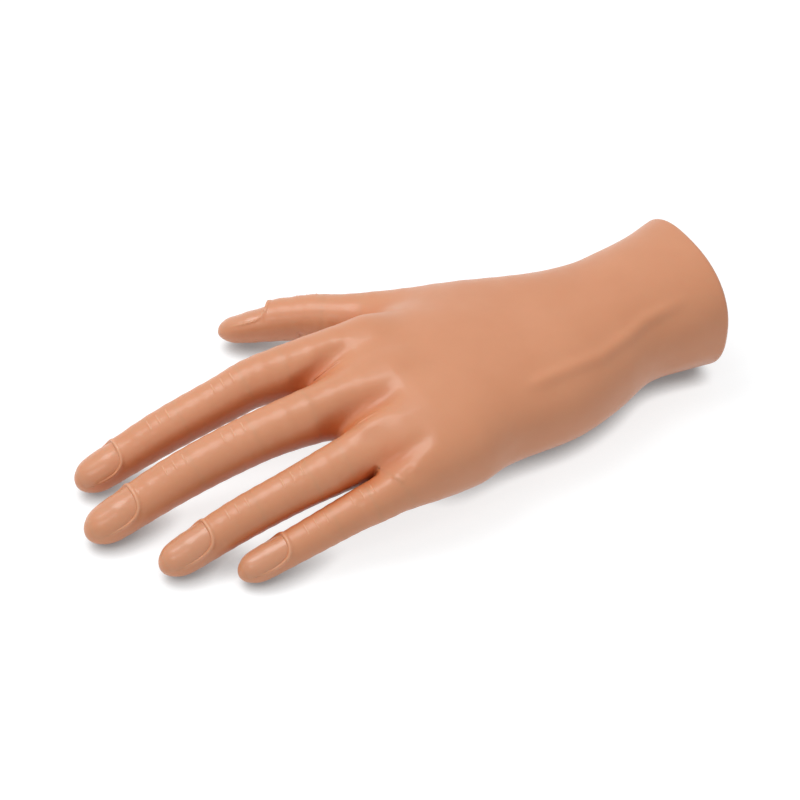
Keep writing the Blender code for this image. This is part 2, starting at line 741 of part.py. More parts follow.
def rest_on_ground(root):
    """Move the hand so that its bounding box stands on the origin."""
    bpy.context.view_layer.update()
    graph = bpy.context.evaluated_depsgraph_get()
    corners = []
    for thing in bpy.context.scene.objects:
        if thing.type == "MESH" and not thing.hide_render:
            shape = thing.evaluated_get(graph)
            points = np.empty(len(shape.data.vertices) * 3)
            shape.data.vertices.foreach_get("co", points)
            points = points.reshape(-1, 3) + np.array(shape.matrix_world.translation)
            corners += [points.min(axis=0), points.max(axis=0)]
    low, high = np.min(corners, axis=0), np.max(corners, axis=0)
    root.location = (-(low[0] + high[0]) / 2, -(low[1] + high[1]) / 2, -low[2])


def main():
    for thing in list(bpy.data.objects):
        bpy.data.objects.remove(thing)
    root = empty("hand", None, (0, 0, 0))
    paths = {f"{digit.name}_wire": wire_path(digit, slot) for slot, digit in zip(SLOTS, DIGITS)}
    bores = {name: cutter(f"cut {name} bore", *tube(path, WIRE_RADIUS + WIRE_CLEARANCE), root)
             for name, path in paths.items()}
    palm = build_palm(root, bores.values())
    for digit in DIGITS:
        build_digit(digit, palm, bores[f"{digit.name}_wire"])
    for name, path in paths.items():
        solid(name, *tube(path, WIRE_RADIUS), ALUMINIUM, palm, path[0])
    build_core(palm, paths)
    rest_on_ground(root)


main()
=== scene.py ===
"""Looks of the nail practice hand: one seamless skin cut into pieces at every joint, nails, inner
parts.

Sizes are in millimetres in the hand's own frame, as in the part's source, and turn into metres
where a mesh is made. The wrist's end lies at x = 0, the fingers point along -X and the thumb
along +Y, and +Z is up.
"""
import math
from concurrent.futures import ThreadPoolExecutor
from dataclasses import dataclass

import bmesh
import bpy
import mathutils
import numpy as np
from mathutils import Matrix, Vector

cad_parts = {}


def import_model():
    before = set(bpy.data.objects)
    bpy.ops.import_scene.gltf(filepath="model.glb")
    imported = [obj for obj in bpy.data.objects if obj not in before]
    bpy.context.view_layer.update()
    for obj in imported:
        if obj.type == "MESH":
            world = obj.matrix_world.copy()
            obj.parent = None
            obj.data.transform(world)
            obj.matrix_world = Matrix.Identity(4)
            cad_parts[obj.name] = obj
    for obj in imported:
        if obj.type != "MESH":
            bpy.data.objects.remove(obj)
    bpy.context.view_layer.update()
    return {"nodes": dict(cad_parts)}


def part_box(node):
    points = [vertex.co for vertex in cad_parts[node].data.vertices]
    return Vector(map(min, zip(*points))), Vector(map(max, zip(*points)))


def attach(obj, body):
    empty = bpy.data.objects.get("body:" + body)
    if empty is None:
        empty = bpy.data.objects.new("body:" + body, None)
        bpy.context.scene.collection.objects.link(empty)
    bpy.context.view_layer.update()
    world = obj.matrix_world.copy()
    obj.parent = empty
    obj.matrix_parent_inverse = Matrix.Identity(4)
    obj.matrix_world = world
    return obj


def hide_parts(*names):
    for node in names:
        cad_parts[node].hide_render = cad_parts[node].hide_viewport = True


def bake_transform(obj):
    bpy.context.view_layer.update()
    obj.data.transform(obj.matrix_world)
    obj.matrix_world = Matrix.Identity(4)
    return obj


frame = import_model()

MM = 0.001
TINY = 0.001
WHITE = (1, 1, 1, 1)

# Shape of the part's source
PALM_TIP_ROUNDING = 14.0
PALM_TIP_INSET = 2.0
FINGER_BLEND = 9.0
THUMB_BLEND = 14.0
WEB_BLEND = 5.0
WEB_REACH = 12.0
WEB_BACK = 7.0
GAP_BLEND = 0.4
BONE_BLEND = 0.35
BONE_FULL = 0.15
STEPS_PER_BONE = 4
SKIN_WALL = 4.0
HOLLOW_END = -122.0
PLUG_THICKNESS = 5.0
PLUG_RECESS = 1.5
PLUG_CLEARANCE = 0.4
FERRULE_FRONT = -28.0
FERRULE_HEIGHT = 23.0
FERRULE_LENGTH = 14.0
FERRULE_WALL = 1.2
WIRE_TAIL = 4.0
WIRE_STOP = 3.0
WIRE_RADIUS = 1.0
WIRE_CLEARANCE = 0.3
SLOT_RADIUS = 2.1
SLOTS = (0, 1, 4, 2, 3)

# Slit that keeps the ring and little fingers apart
SLIT_HALF = 0.4
SLIT_CLOSED = -1.5
SLIT_FROM = -136.5
SLIT_RUN = 2.6
SLIT_ROUNDING = 0.4
SLIT_BOX = ((-175, -52, -5), (-128, -18, 45))

# Fine mesh of the skin
FINE_CELL = 0.42
COARSE_CELL = 0.9
ACROSS_CELL = 0.6
FINE_FROM = -112.0
DIGITS_FROM = -92.0
BLOCK = 6
BLOCK_MARGIN = 1.3
LOT = 12000
CORES = 4
GRID_MARGIN = 3.0
TIP_MARGIN = 9.0
DIGIT_MARGIN = 22.0
FAR = 30.0
LEAST_SLOPE = 0.25
SEAM_BEFORE = 0.9
FINER_ROUNDS = 2
FINER_MARGIN = 1.3
FINER_NAIL_END = 0.9
FINER_REACH = 12.0
FINER_SHARE = 0.2
RIM_FROM = -7.0
RIM_ROUNDING = 1.9
RIM_STEPS = 9
WALL_STEPS = 9

# Inner pieces and nails
WIRE_STEPS = 9
WIRE_SIDES = 20
FERRULE_SIDES = 64
LIP = ((0.35, 0.0), (0.12, 0.12), (0.0, 0.35))
LIP_INSIDE = 0.15
GROOVES = (0.3, 0.7)
GROOVE = ((0.7, 0.0), (0.45, 0.08), (0.2, 0.3))
PLUG_SIDES = 120
PLUG_EDGE = 0.8
PLUG_STEPS = 6
PLUG_RIM = 3.0
PLUG_DISH = 0.6
FOAM_CELL = 2.5
FOAM_PIT = 1.6
FOAM_DEEP = 0.2
FOAM_ROUNDS = 3
NAIL_ACROSS = 33
NAIL_ALONG = 45
NAIL_ENDS = 0.985
NAIL_DEEP = 1.0
NAIL_TUCK = 0.35
NAIL_ROUNDS = 60
NAIL_STEP = 0.6
NAIL_START = 1.3
NAIL_LEAST = (0.3, 0.1)
SMOOTH_TO = math.radians(40)
PLATE_SMOOTH_TO = math.radians(50)

# Colours, stage, lamps and camera, in metres and watts
SKIN_LIGHT = (0.68, 0.29, 0.146)
SKIN_DARK = (0.65, 0.27, 0.132)
# Painted shade: the darker, deeper orange of crevices and dips
SKIN_PAINTED_SHADE = (0.58, 0.165, 0.053)
# Painted highlight: the paler colour of crease lines and nail fold crests
SKIN_PAINTED_HIGHLIGHT = (0.82, 0.46, 0.29)
NAIL_DARK = (0.66, 0.29, 0.155)
PATCH_SHADE = 0.86
# How shut in the skin is, which sets the painted shade in crevices
OPEN_REACH = (3.0, 6.0, 10.0)
OPEN_STEP = 0.3
SHADE_PAINT_FROM = 0.12
SHADE_PAINT_GAIN = 1.3
# Painted highlight along the crease lines and the nail folds' crests
PAINTED_HIGHLIGHT_SHARE = 0.75
FOLD_HIGHLIGHT_PAINT = 0.6
FOLD_HIGHLIGHT_WIDTH = 0.4
CAMERA_TARGET = (0.00103, -0.01126, 0.015)
CAMERA_BACK = (-0.3234, -0.6690, 0.6691)
CAMERA_DISTANCE = 0.640
LENS = 85.0
SENSOR = 36.0
NEAREST = 0.01
DOME = 0.5
FLOOR_HALF = 6.0
FLOOR_MATT = (0.34, 0.355, 0.365, 1)
FLOOR_BOUNCE = (0.85, 0.85, 0.85, 1)
FLOOR_GLOW = 0.78
# Painted contact shadow: the floor's glow dims to this where the hand is near
PAINTED_SHADOW_GLOW = 0.15
PAINTED_SHADOW_REACH = 0.009
PAINTED_SHADOW_RANGE = (0.3, 0.8)
LAMPS = [  # Name, place, target, side and power
    ("key", (-0.20, 0.25, 0.80), (0, 0, 0.02), 0.45, 3.6),
    ("fill", (-0.55, -0.25, 0.65), (-0.05, 0, 0.02), 0.25, 0.6),
]


@dataclass
class Section:
    """One cross-section of the palm and wrist, as a rounded oval."""
    x: float
    centre: float
    half_width: float
    bottom: float
    top: float
    fullness: float


SECTIONS = [
    Section(-140, -11.0, 31.5, 14.0, 31.0, 2.2),
    Section(-126, -10.3, 36.0, 9.0, 36.5, 2.4),
    Section(-110, -7.6, 38.0, 4.0, 39.5, 2.5),
    Section(-90, -5.5, 36.5, 2.0, 40.5, 2.4),
    Section(-62, -6.5, 33.0, 1.0, 40.5, 2.25),
    Section(-45, -4.2, 29.6, 1.0, 41.0, 2.2),
    Section(-30, -1.0, 27.0, 2.5, 42.8, 2.15),
    Section(-12, 0.5, 27.5, 1.5, 45.0, 2.25),
    Section(0, 2.2, 28.8, 0.0, 46.8, 2.4),
    Section(12, 3.0, 30.0, -1.0, 48.0, 2.4),
]


@dataclass
class Bone:
    """A stretch of a digit, the half sizes of the skin at its far end and its bend's fold there."""
    length: float
    heading: float
    droop: float
    half_width: float
    half_height: float
    bend: str = ""
    fold: tuple = (0.0, 0.0)
    creases: float = 0.0


@dataclass
class Digit:
    """A finger or the thumb, from its knuckle inside the palm to the centre of its tip."""
    name: str
    knuckle: tuple
    half_width: float
    half_height: float
    bones: list
    lean: float
    root_yaw: float
    nail_length: float
    nail_from_tip: float


DIGITS = [
    Digit("thumb", (-50, 11, 20), 13.0, 12.5, [
        Bone(30.0, 30.0, 0.0, 12.5, 12.0),
        Bone(40.0, 33.5, 6.5, 9.0, 8.6),
        Bone(18.0, 35.5, 7.5, 8.2, 7.8, "root", (4.0, 8.5)),
        Bone(24.5, 26.0, 13.0, 6.9, 4.9, "end", (8.0, 7.5), -2.1),
    ], 45.0, 0.0, 19.0, 0.6),
    Digit("index", (-118, 17, 27.5), 11.5, 11.2, [
        Bone(36.0, 4.6, 1.9, 8.6, 8.4),
        Bone(15.4, 1.9, 14.0, 7.8, 7.6, "root", (6.2, 6.3)),
        Bone(24.1, 1.2, 17.0, 7.4, 7.1, "middle", (7.6, 7.3), -1.9),
        Bone(25.6, -1.4, 19.5, 6.4, 5.9, "end", (8.1, 7.7), -2.1),
    ], 0.0, 0.0, 16.8, 0.5),
    Digit("middle", (-120, -3.5, 27), 11.5, 11.2, [
        Bone(36.0, 0.0, 2.4, 8.7, 8.4),
        Bone(19.9, 4.6, 13.5, 8.1, 7.8, "root", (7.6, 7.9)),
        Bone(21.8, 0.8, 16.0, 7.7, 7.3, "middle", (8.2, 7.7), -3.0),
        Bone(25.3, -3.0, 18.5, 6.8, 6.2, "end", (8.1, 7.8), -3.7),
    ], 0.0, 0.0, 19.0, 0.5),
    Digit("ring", (-116, -22, 25), 11.0, 10.6, [
        Bone(36.0, -7.2, 4.5, 7.9, 7.7),
        Bone(13.4, 1.5, 15.0, 7.1, 6.9, "root", (4.9, 4.9)),
        Bone(19.6, 0.9, 16.2, 6.8, 6.5, "middle", (6.9, 6.5), -2.4),
        Bone(22.1, -2.4, 18.0, 6.1, 5.6, "end", (7.3, 6.6), -2.2),
    ], 0.0, 0.0, 18.4, 0.5),
    Digit("little", (-108, -34.5, 21.5), 9.8, 9.4, [
        Bone(30.9, -11.2, 5.6, 7.2, 7.0),
        Bone(10.0, 2.3, 16.5, 6.4, 6.2, "root", (2.6, 5.0)),
        Bone(15.8, -0.4, 15.2, 5.9, 5.6, "middle", (4.5, 6.2), -3.4),
        Bone(21.4, 0.5, 16.0, 5.4, 4.9, "end", (7.0, 7.0), -2.1),
    ], 0.0, 15.0, 17.3, 0.4),
]
PARTS = {"root": "base", "middle": "middle", "end": "tip"}

# Details on the skin: paths or places with their size and how far they rise
VALLEYS = [
    ([(-152, 8.5, 27), (-144.7, 9.9, 29.4), (-138.5, 10.6, 32.6), (-132.9, 10.8, 35.4),
      (-124, 11, 38)], 2.8, -1.1),
    ([(-143.9, 8.6, 28.3), (-140.2, 8.6, 30.4), (-135.6, 8.4, 33.2), (-129.5, 8.3, 36)], 0.5, 0.45),
    ([(-152, -13.2, 25), (-145.7, -13.6, 27), (-140.4, -14.2, 30), (-133.5, -15.8, 34.4),
      (-126, -17, 37.2), (-119, -17.3, 39)], 4.4, -1.4),
    ([(-139.5, -19.3, 31), (-134.2, -19.6, 34.1), (-129, -19.9, 36.4)], 0.5, 0.42),
    ([(-148, -37.5, 23), (-141.9, -37.5, 25.5), (-137, -38, 28.3), (-131.5, -38.2, 31.2),
      (-126, -37.8, 33.4), (-118, -36.5, 35.8)], 3.4, -1.5),
    ([(-136.6, -41.6, 27.5), (-135, -43.2, 27.3), (-133.2, -45.4, 26.6)], 0.7, 0.25),
    ([(-88, -31.8, 35), (-79.3, -31.4, 36), (-71.2, -30.3, 36.3), (-53.4, -28.2, 35.6),
      (-40, -24, 36.4), (-31.5, -20.6, 37.5), (-10, -18, 40)], 2.5, 1.15),
]
MOUNDS = [
    ((-132, 17.5, 37.5), (9, 7, 8), 0.45),
    ((-137, -5.5, 36.5), (8, 6, 8), 0.6),
    ((-135.5, -23.8, 34), (7, 3.0, 6), 1.1),
    ((-131, -27, 36), (8, 5, 6), 0.5),
    ((-127.5, -16.5, 36.8), (8, 4.5, 6), -0.5),
    ((-125, -41, 31.5), (8, 5.5, 8), 0.6),
    ((-129.3, -44.2, 30), (2, 1.5, 1.8), 0.35),
    ((-76.5, -30.9, 36.3), (4.5, 2.6, 4), 0.45),
    ((-92, -4, 2), (22, 17, 13), -2.6),
]
# Painted shade: dips where the skin's colour darkens, with their size and strength
PAINTED_SHADE_DIPS = [
    ((-133.5, -36.2, 30.2), (7, 4.6, 6), 0.75),
    ((-130.5, -13.5, 36), (9, 4.5, 6), 0.3),
    ((-136, 10, 33), (7, 3.5, 6), 0.25),
]
PALM_LINES = [
    ([(-124, 23, 6), (-112, 14, 3), (-98, 7, 2), (-80, 3, 1), (-60, 2, 1), (-42, 3, 1)], 0.8, -0.55),
    ([(-124, 23, 6), (-112, 11, 3), (-102, -4, 2), (-92, -19, 2), (-84, -30, 4)], 0.7, -0.45),
    ([(-132, 4, 10), (-124, -6, 6), (-116, -20, 4), (-106, -34, 5), (-100, -44, 10)], 0.7, -0.5),
]
VALLEY_FADE = 0.25
PALM_LINE_FADE = 0.12
BEND_REACH = 13.0
CREASE_STEP = 3.6
CREASE_RISE = 0.16
CREASE_WIDTH = 0.22
CREASE_REACH = 2.3
CREASE_OFFSET = -0.8
FLEXION_DEPTH = 0.45
FLEXION_WIDTH = 0.75
FLEXION_RUN = 0.22
FLEXION_PAIR = 0.9
FLEXION_FROM = 0.75
THUMB_FLEXION_FROM = 0.93
FOLD_RISE = 0.45
FOLD_OFF = 0.75
FOLD_WIDTH = 0.75
FOLD_FADE = (-0.4, 0.75)
SEAT_DEPTH = 0.9
SEAT_WALL = 0.3
SEAT_END = (0.45, 0.85)
NAIL_REAR = 3.0
NAIL_TURN = math.radians(68)
NAIL_SUNK = 0.45
NAIL_FLUSH = 0.06
NAIL_END_SUNK = 0.2
NAIL_ROOT = (-1.0, -0.1)
NAIL_TIP = (0.6, 1.0)
TIP_REACH = 30.0
TIP_ROUND = 1.4
TAPER = 1.6
TAPER_UNDER = 1.0
TAPER_FROM = -0.4
TAPER_SIDES = 1.2
THUMB_FOLD = 1.5
THUMB_FOLD_REACH = 8.0
THUMB_FOLD_TURN = 0.75

low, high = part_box("wire_ferrule")
ORIGIN = np.array([low.x / MM - FERRULE_FRONT, (low.y + high.y) / 2 / MM,
                   (low.z + high.z) / 2 / MM - FERRULE_HEIGHT])


def world(points):
    return (np.asarray(points, float) + ORIGIN) * MM


def unit(vector):
    return np.asarray(vector, float) / np.linalg.norm(vector)


def smooth_min(a, b, reach):
    share = np.maximum(reach - np.abs(a - b), 0.0) / reach
    return np.minimum(a, b) - share * share * reach / 4


def smooth_max(a, b, reach):
    return -smooth_min(-a, -b, reach)


def smoothstep(low, high, at):
    t = np.clip((at - low) / (high - low), 0, 1)
    return t * t * (3 - 2 * t)


def hermite(knots, values, at):
    """A smooth curve through values at rising knots, held level past the ends."""
    knots, values = np.asarray(knots, float), np.asarray(values, float)
    slopes = np.gradient(values, knots, axis=0)
    at = np.clip(at, knots[0], knots[-1])
    i = np.clip(np.searchsorted(knots, at) - 1, 0, len(knots) - 2)
    step = (knots[i + 1] - knots[i])[:, None]
    t = (at - knots[i])[:, None] / step
    return ((1 + 2 * t) * (1 - t) ** 2 * values[i] + t * (1 - t) ** 2 * step * slopes[i]
            + t * t * (3 - 2 * t) * values[i + 1] + t * t * (t - 1) * step * slopes[i + 1])


def section_at(x):
    """Centre y, centre z, half width, half height and fullness of the palm at each x."""
    rows = [(s.centre, (s.bottom + s.top) / 2, s.half_width, (s.top - s.bottom) / 2, s.fullness)
            for s in SECTIONS]
    return hermite([s.x for s in SECTIONS], rows, np.asarray(x, float)).T


def joints_of(digit):
    """The knuckle, every bend and the tip centre of a digit."""
    points = [np.array(digit.knuckle, float)]
    for bone in digit.bones:
        heading, droop = math.radians(bone.heading), math.radians(bone.droop)
        level = math.cos(droop)
        step = np.array((-math.cos(heading) * level, math.sin(heading) * level, -math.sin(droop)))
        points.append(points[-1] + bone.length * step)
    return points


def spine(digit):
    """Points, half widths and half heights along a digit, with a few steps to a bone."""
    points = joints_of(digit)
    widths = [digit.half_width] + [bone.half_width for bone in digit.bones]
    heights = [digit.half_height] + [bone.half_height for bone in digit.bones]
    at = np.linspace(0, len(digit.bones), len(digit.bones) * STEPS_PER_BONE + 1)
    smooth = hermite(np.arange(len(points)), np.column_stack([points, widths, heights]), at)
    return smooth[:, :3], smooth[:, 3], smooth[:, 4]


def frame_of(digit, direction):
    """Unit vectors along a digit, to its thumb side and out of its nail side."""
    lean = math.radians(digit.lean)
    along = unit(direction)
    side = unit(np.cross(along, (0, math.sin(lean), math.cos(lean))))
    return along, side, np.cross(side, along)


def limbs_of(digit):
    """For each short limb of a digit: its start, its turned axes, its length and its end sizes."""
    centres, widths, heights = spine(digit)
    return [(centres[i], np.stack(frame_of(digit, step), 1), np.linalg.norm(step),
             widths[i:i + 2], heights[i:i + 2]) for i, step in enumerate(np.diff(centres, axis=0))]


LIMBS = {digit.name: limbs_of(digit) for digit in DIGITS}


def digit_box(digit):
    centres, widths, _ = spine(digit)
    reach = widths.max() + DIGIT_MARGIN
    return centres.min(axis=0) - reach, centres.max(axis=0) + reach


DIGIT_BOXES = {digit.name: digit_box(digit) for digit in DIGITS}


def within(points, low, high):
    return np.all((points > low) & (points < high), axis=1)


def digit_field(points, digit):
    """Distance to a digit, or a large value far from it."""
    near = within(points, *DIGIT_BOXES[digit.name])
    result = np.full(len(points), FAR)
    if not near.any():
        return result
    places = points[near]
    field = None
    for start, axes, length, widths, heights in LIMBS[digit.name]:
        a, b, c = ((places - start) @ axes).T
        share = np.clip(a / length, 0, 1)
        width = widths[0] + (widths[1] - widths[0]) * share
        height = heights[0] + (heights[1] - heights[0]) * share
        part = np.sqrt((a - share * length) ** 2 + b * b + (c * width / height) ** 2) - width
        field = part if field is None else smooth_min(field, part, BONE_BLEND)
    result[near] = np.minimum(field - BONE_FULL, FAR)
    return result


def oval_size(y, z, fullness):
    """How far out a place lies in a rounded oval with half sizes of 1: 1 on its edge."""
    return (np.abs(y) ** fullness + np.abs(z) ** fullness) ** (1 / fullness)


def palm_field(points):
    x = points[:, 0]
    centre_y, centre_z, half_width, half_height, fullness = section_at(x)
    y, z = points[:, 1] - centre_y, points[:, 2] - centre_z
    rim = oval_size(y / half_width, z / half_height, fullness)
    body = np.hypot(y, z) * (1 - 1 / np.maximum(rim, TINY))
    body = np.maximum(body, -np.minimum(half_width, half_height))
    return smooth_max(body, SECTIONS[0].x + PALM_TIP_INSET - x, PALM_TIP_ROUNDING)


def hand_field(points):
    """Below zero inside the plain hand of the part's source."""
    thumb, *rest = DIGITS
    fingers = digit_field(points, rest[0])
    for near, far in zip(rest, rest[1:]):
        web = (joints_of(near)[1][0] + joints_of(far)[1][0]) / 2 + WEB_BACK
        share = np.clip((points[:, 0] - web) / WEB_REACH + 0.5, 0, 1)
        part = digit_field(points, far)
        fingers = smooth_min(fingers, part, GAP_BLEND + (WEB_BLEND - GAP_BLEND) * share)
    field = smooth_min(palm_field(points), fingers, FINGER_BLEND)
    return smooth_min(field, digit_field(points, thumb), THUMB_BLEND)


def slit_field(points):
    """Above zero in the narrow slit that keeps the ring and little fingers apart."""
    ring, little = DIGITS[-2:]
    away = np.abs(digit_field(points, ring) - digit_field(points, little)) / 2
    open_share = smoothstep(0, SLIT_RUN, SLIT_FROM - points[:, 0])
    return SLIT_CLOSED + (SLIT_HALF - SLIT_CLOSED) * open_share - away


def split_hand_field(points):
    """The plain hand with the slit between its ring and little fingers."""
    field = hand_field(points)
    near = within(points, *SLIT_BOX)
    if near.any():
        field[near] = smooth_max(field[near], slit_field(points[near]), SLIT_ROUNDING)
    return field


def bend_at(digit, number):
    """The place of a bend, and unit vectors along the digit, to its thumb side and its nail side."""
    points = joints_of(digit)
    along = unit(unit(points[number + 1] - points[number]) + unit(points[number] - points[number - 1]))
    return points[number], *frame_of(digit, along)


def folds_of(digit):
    """The bodies before and after each bend, and where its fold starts and ends."""
    folds, before = [], "palm"
    for number, bone in enumerate(digit.bones):
        if bone.bend:
            place, along, side, _ = bend_at(digit, number)
            yaw = math.radians(digit.root_yaw if bone.bend == "root" else 0.0)
            way = math.cos(yaw) * along - math.sin(yaw) * side
            body = f"{digit.name}_{PARTS[bone.bend]}"
            folds.append((before, body, place - bone.fold[0] * way, place + bone.fold[1] * way))
            before = body
    return folds


def nail_frame(digit):
    """The tip centre of a digit and unit vectors along, across and out of its nail."""
    points = joints_of(digit)
    return points[-1], *frame_of(digit, points[-1] - points[-2])


def nail_centre(digit):
    return digit.bones[-1].half_width - digit.nail_from_tip - digit.nail_length / 2


def seen_from(points, place, *ways):
    """How far each point lies from a place along some ways."""
    off = points - place
    return [off @ way for way in ways]


def mound(points, centre, radii, height):
    """A soft rise or dip round a place."""
    off = (points - centre) / radii
    return height * np.exp(-np.einsum("ij,ij->i", off, off))


def crest(points, path, width, height, fade=VALLEY_FADE):
    """A soft ridge or valley along a path; it fades in and out over its ends."""
    path = np.asarray(path, float)
    near = within(points, path.min(axis=0) - 3 * width, path.max(axis=0) + 3 * width)
    rise = np.zeros(len(points))
    if not near.any():
        return rise
    points = points[near]
    total = np.linalg.norm(np.diff(path, axis=0), axis=1).sum()
    best = np.full(len(points), 1e9)
    where = np.zeros(len(points))
    walked = 0.0
    for a, b in zip(path, path[1:]):
        way = b - a
        length = np.linalg.norm(way)
        share = np.clip((points - a) @ way / length ** 2, 0, 1)
        gap = np.linalg.norm(points - a - share[:, None] * way, axis=1)
        nearer = gap < best
        best = np.where(nearer, gap, best)
        where = np.where(nearer, (walked + share * length) / total, where)
        walked += length
    ends = smoothstep(0, fade, np.minimum(where, 1 - where))
    rise[near] = height * ends * np.exp(-(best / width) ** 2)
    return rise


def nail_place(points, digit):
    """Places along and round a nail in units of its outline, and how far outside it they lie."""
    bone = digit.bones[-1]
    ahead, across, up = seen_from(points, *nail_frame(digit))
    s = (ahead - nail_centre(digit)) / (digit.nail_length / 2)
    t = np.arctan2(across / bone.half_width, up / bone.half_height) / NAIL_TURN
    back = np.maximum(-s, 0)
    rim = np.maximum(oval_size(back, t, NAIL_REAR), TINY)
    size = np.hypot(back * digit.nail_length / 2, t * NAIL_TURN * np.hypot(across, up))
    return s, t, size * (1 - 1 / rim)


def by_nail(points, digit):
    """Whether each place is at the digit's own fingertip, not at a neighbour's."""
    tip, _, *across = nail_frame(digit)
    near = np.linalg.norm(points - tip, axis=1) < TIP_REACH
    return near & (np.hypot(*seen_from(points, tip, *across)) < TIP_ROUND * digit.bones[-1].half_width)


def nail_height(s):
    """How far a nail's face stands out of the plain fingertip: sunk at its root and under its end."""
    root = 1 - smoothstep(*NAIL_ROOT, s)
    return NAIL_FLUSH - NAIL_SUNK * root - NAIL_END_SUNK * smoothstep(*NAIL_TIP, s)


def taper(points, digit):
    """How far a fingertip draws in from the plain shape, most at its sides and its end."""
    bone = digit.bones[-1]
    ahead, across, up = seen_from(points, *nail_frame(digit))
    beside = np.clip(np.abs(across) / bone.half_width, 0, TAPER_SIDES) ** 2
    below = smoothstep(0.0, 1.0, -up / bone.half_height)
    forward = smoothstep(TAPER_FROM, 1.0, ahead / bone.half_width)
    return forward * (TAPER * beside + TAPER_UNDER * below)


def crease_rise(points, digit):
    """The fine raised lines across the back of the bends that have them."""
    rise = np.zeros(len(points))
    for number, bone in enumerate(digit.bones):
        if bone.creases:
            s, t, up = seen_from(points, *bend_at(digit, number))
            reach = np.clip(1 - ((t - CREASE_OFFSET) / CREASE_REACH) ** 2, 0, 1)
            for step in (-1, 0, 1):
                away = s - bone.creases - step * CREASE_STEP
                rise += CREASE_RISE * np.sqrt(reach) * np.exp(-(away / CREASE_WIDTH) ** 2) * (up > 0)
    return rise


def flexion_dip(points, digit):
    """The creases on the palm's side of each bend, two at a middle one."""
    dip = np.zeros(len(points))
    start = THUMB_FLEXION_FROM if digit.name == "thumb" else FLEXION_FROM
    for number, bone in enumerate(digit.bones):
        if bone.bend:
            s, _, up = seen_from(points, *bend_at(digit, number))
            under = smoothstep(start, start + FLEXION_RUN, -up / bone.half_height)
            for shift in ((-FLEXION_PAIR, FLEXION_PAIR) if bone.bend == "middle" else (0.0,)):
                dip -= FLEXION_DEPTH * under * np.exp(-((s - shift) / FLEXION_WIDTH) ** 2)
    return dip


def nail_fold(s, away, width, height):
    """The fold round a nail; it fades out beside the nail's end."""
    return height * (1 - smoothstep(*FOLD_FADE, s)) * np.exp(-((away - FOLD_OFF) / width) ** 2)


def nail_rise(points, digit):
    """The fold and the seat round a nail, and how much other detail stays at each place."""
    s, t, away = nail_place(points, digit)
    outer = smoothstep(-SEAT_WALL, SEAT_WALL, away)
    outer = outer + (1 - outer) * smoothstep(*SEAT_END, s)
    fold = nail_fold(s, away, FOLD_WIDTH, FOLD_RISE)
    if digit.name == "thumb":
        behind = digit.nail_length / 2 * (-1 - s)
        long = np.exp(-np.where(behind > 0, behind / THUMB_FOLD_REACH, behind) ** 2)
        fold += THUMB_FOLD * long * np.exp(-(t / THUMB_FOLD_TURN) ** 2)
    return fold * outer + (nail_height(s) - SEAT_DEPTH) * (1 - outer), outer


def detail(points):
    """How far the skin stands out over the plain hand at each place."""
    rise = np.zeros(len(points))
    for valley in VALLEYS:
        rise += crest(points, *valley)
    for hill in MOUNDS:
        rise += mound(points, *hill)
    for line in PALM_LINES:
        rise += crest(points, *line, PALM_LINE_FADE)
    for digit in DIGITS:
        near = np.zeros(len(points), bool)
        for joint, bone in zip(joints_of(digit), digit.bones):
            if bone.bend:
                near |= np.linalg.norm(points - joint, axis=1) < BEND_REACH
        rise[near] += crease_rise(points[near], digit) + flexion_dip(points[near], digit)
        near = by_nail(points, digit)
        seat, outer = nail_rise(points[near], digit)
        rise[near] = rise[near] * outer + seat - taper(points[near], digit)
    return rise


def skin_field(points):
    return split_hand_field(points) - detail(points)


def grid_lines():
    """Grid places along x, y and z, finer along x in the fingers."""
    tips = np.array([joints_of(digit)[-1] for digit in DIGITS])
    right = min(s.centre - s.half_width for s in SECTIONS)
    low = np.array([tips[:, 0].min(), right, 0.0]) - TIP_MARGIN
    high = np.array([RIM_FROM, tips[:, 1].max() + TIP_MARGIN, max(s.top for s in SECTIONS)])
    xs = np.concatenate([np.arange(low[0], FINE_FROM, FINE_CELL),
                         np.arange(FINE_FROM, high[0] + 3 * COARSE_CELL, COARSE_CELL)])
    ys = np.arange(low[1] - GRID_MARGIN, high[1] + GRID_MARGIN, ACROSS_CELL)
    zs = np.arange(-GRID_MARGIN, high[2] + GRID_MARGIN, ACROSS_CELL)
    lines = []
    for places in (xs, ys, zs):
        extra = -(len(places) - 1) % BLOCK
        step = places[-1] - places[-2]
        lines.append(np.concatenate([places, places[-1] + step * np.arange(1, extra + 1)]))
    return lines


def banded_values(field, lines):
    """The field on the grid, worked out only in blocks that the surface may cross."""
    middles = [(a[:-1:BLOCK] + a[BLOCK::BLOCK]) / 2 for a in lines]
    halves = [(a[BLOCK::BLOCK] - a[:-1:BLOCK]) / 2 for a in lines]
    centres = np.stack(np.meshgrid(*middles, indexing="ij"), -1).reshape(-1, 3)
    rough = in_lots(field, centres).reshape([len(m) for m in middles])
    reach = np.sqrt(sum(np.meshgrid(*[h ** 2 for h in halves], indexing="ij"))) * BLOCK_MARGIN
    values = np.ones([len(a) for a in lines], np.float32)
    inside = rough < 0
    for axis in range(3):
        inside = np.repeat(inside, BLOCK, axis)
    values[:-1, :-1, :-1] = np.where(inside, -1, 1)
    needed = np.zeros(values.shape, bool)
    for i, j, k in np.argwhere(np.abs(rough) < reach) * BLOCK:
        needed[i:i + BLOCK + 1, j:j + BLOCK + 1, k:k + BLOCK + 1] = True
    at = np.argwhere(needed)
    points = np.stack([lines[axis][at[:, axis]] for axis in range(3)], 1)
    values[needed] = in_lots(field, points)
    return values


def in_lots(field, points):
    """A field at many points, worked out in lots on several cores."""
    lots = [points[i:i + LOT] for i in range(0, len(points), LOT)]
    if not lots:
        return np.zeros(0)
    with ThreadPoolExecutor(CORES) as pool:
        return np.concatenate(list(pool.map(field, lots)))


def window(values, start, size):
    """The values from a start corner on, as many along each axis as size says."""
    return values[tuple(slice(a, a + n) for a, n in zip(start, size))]


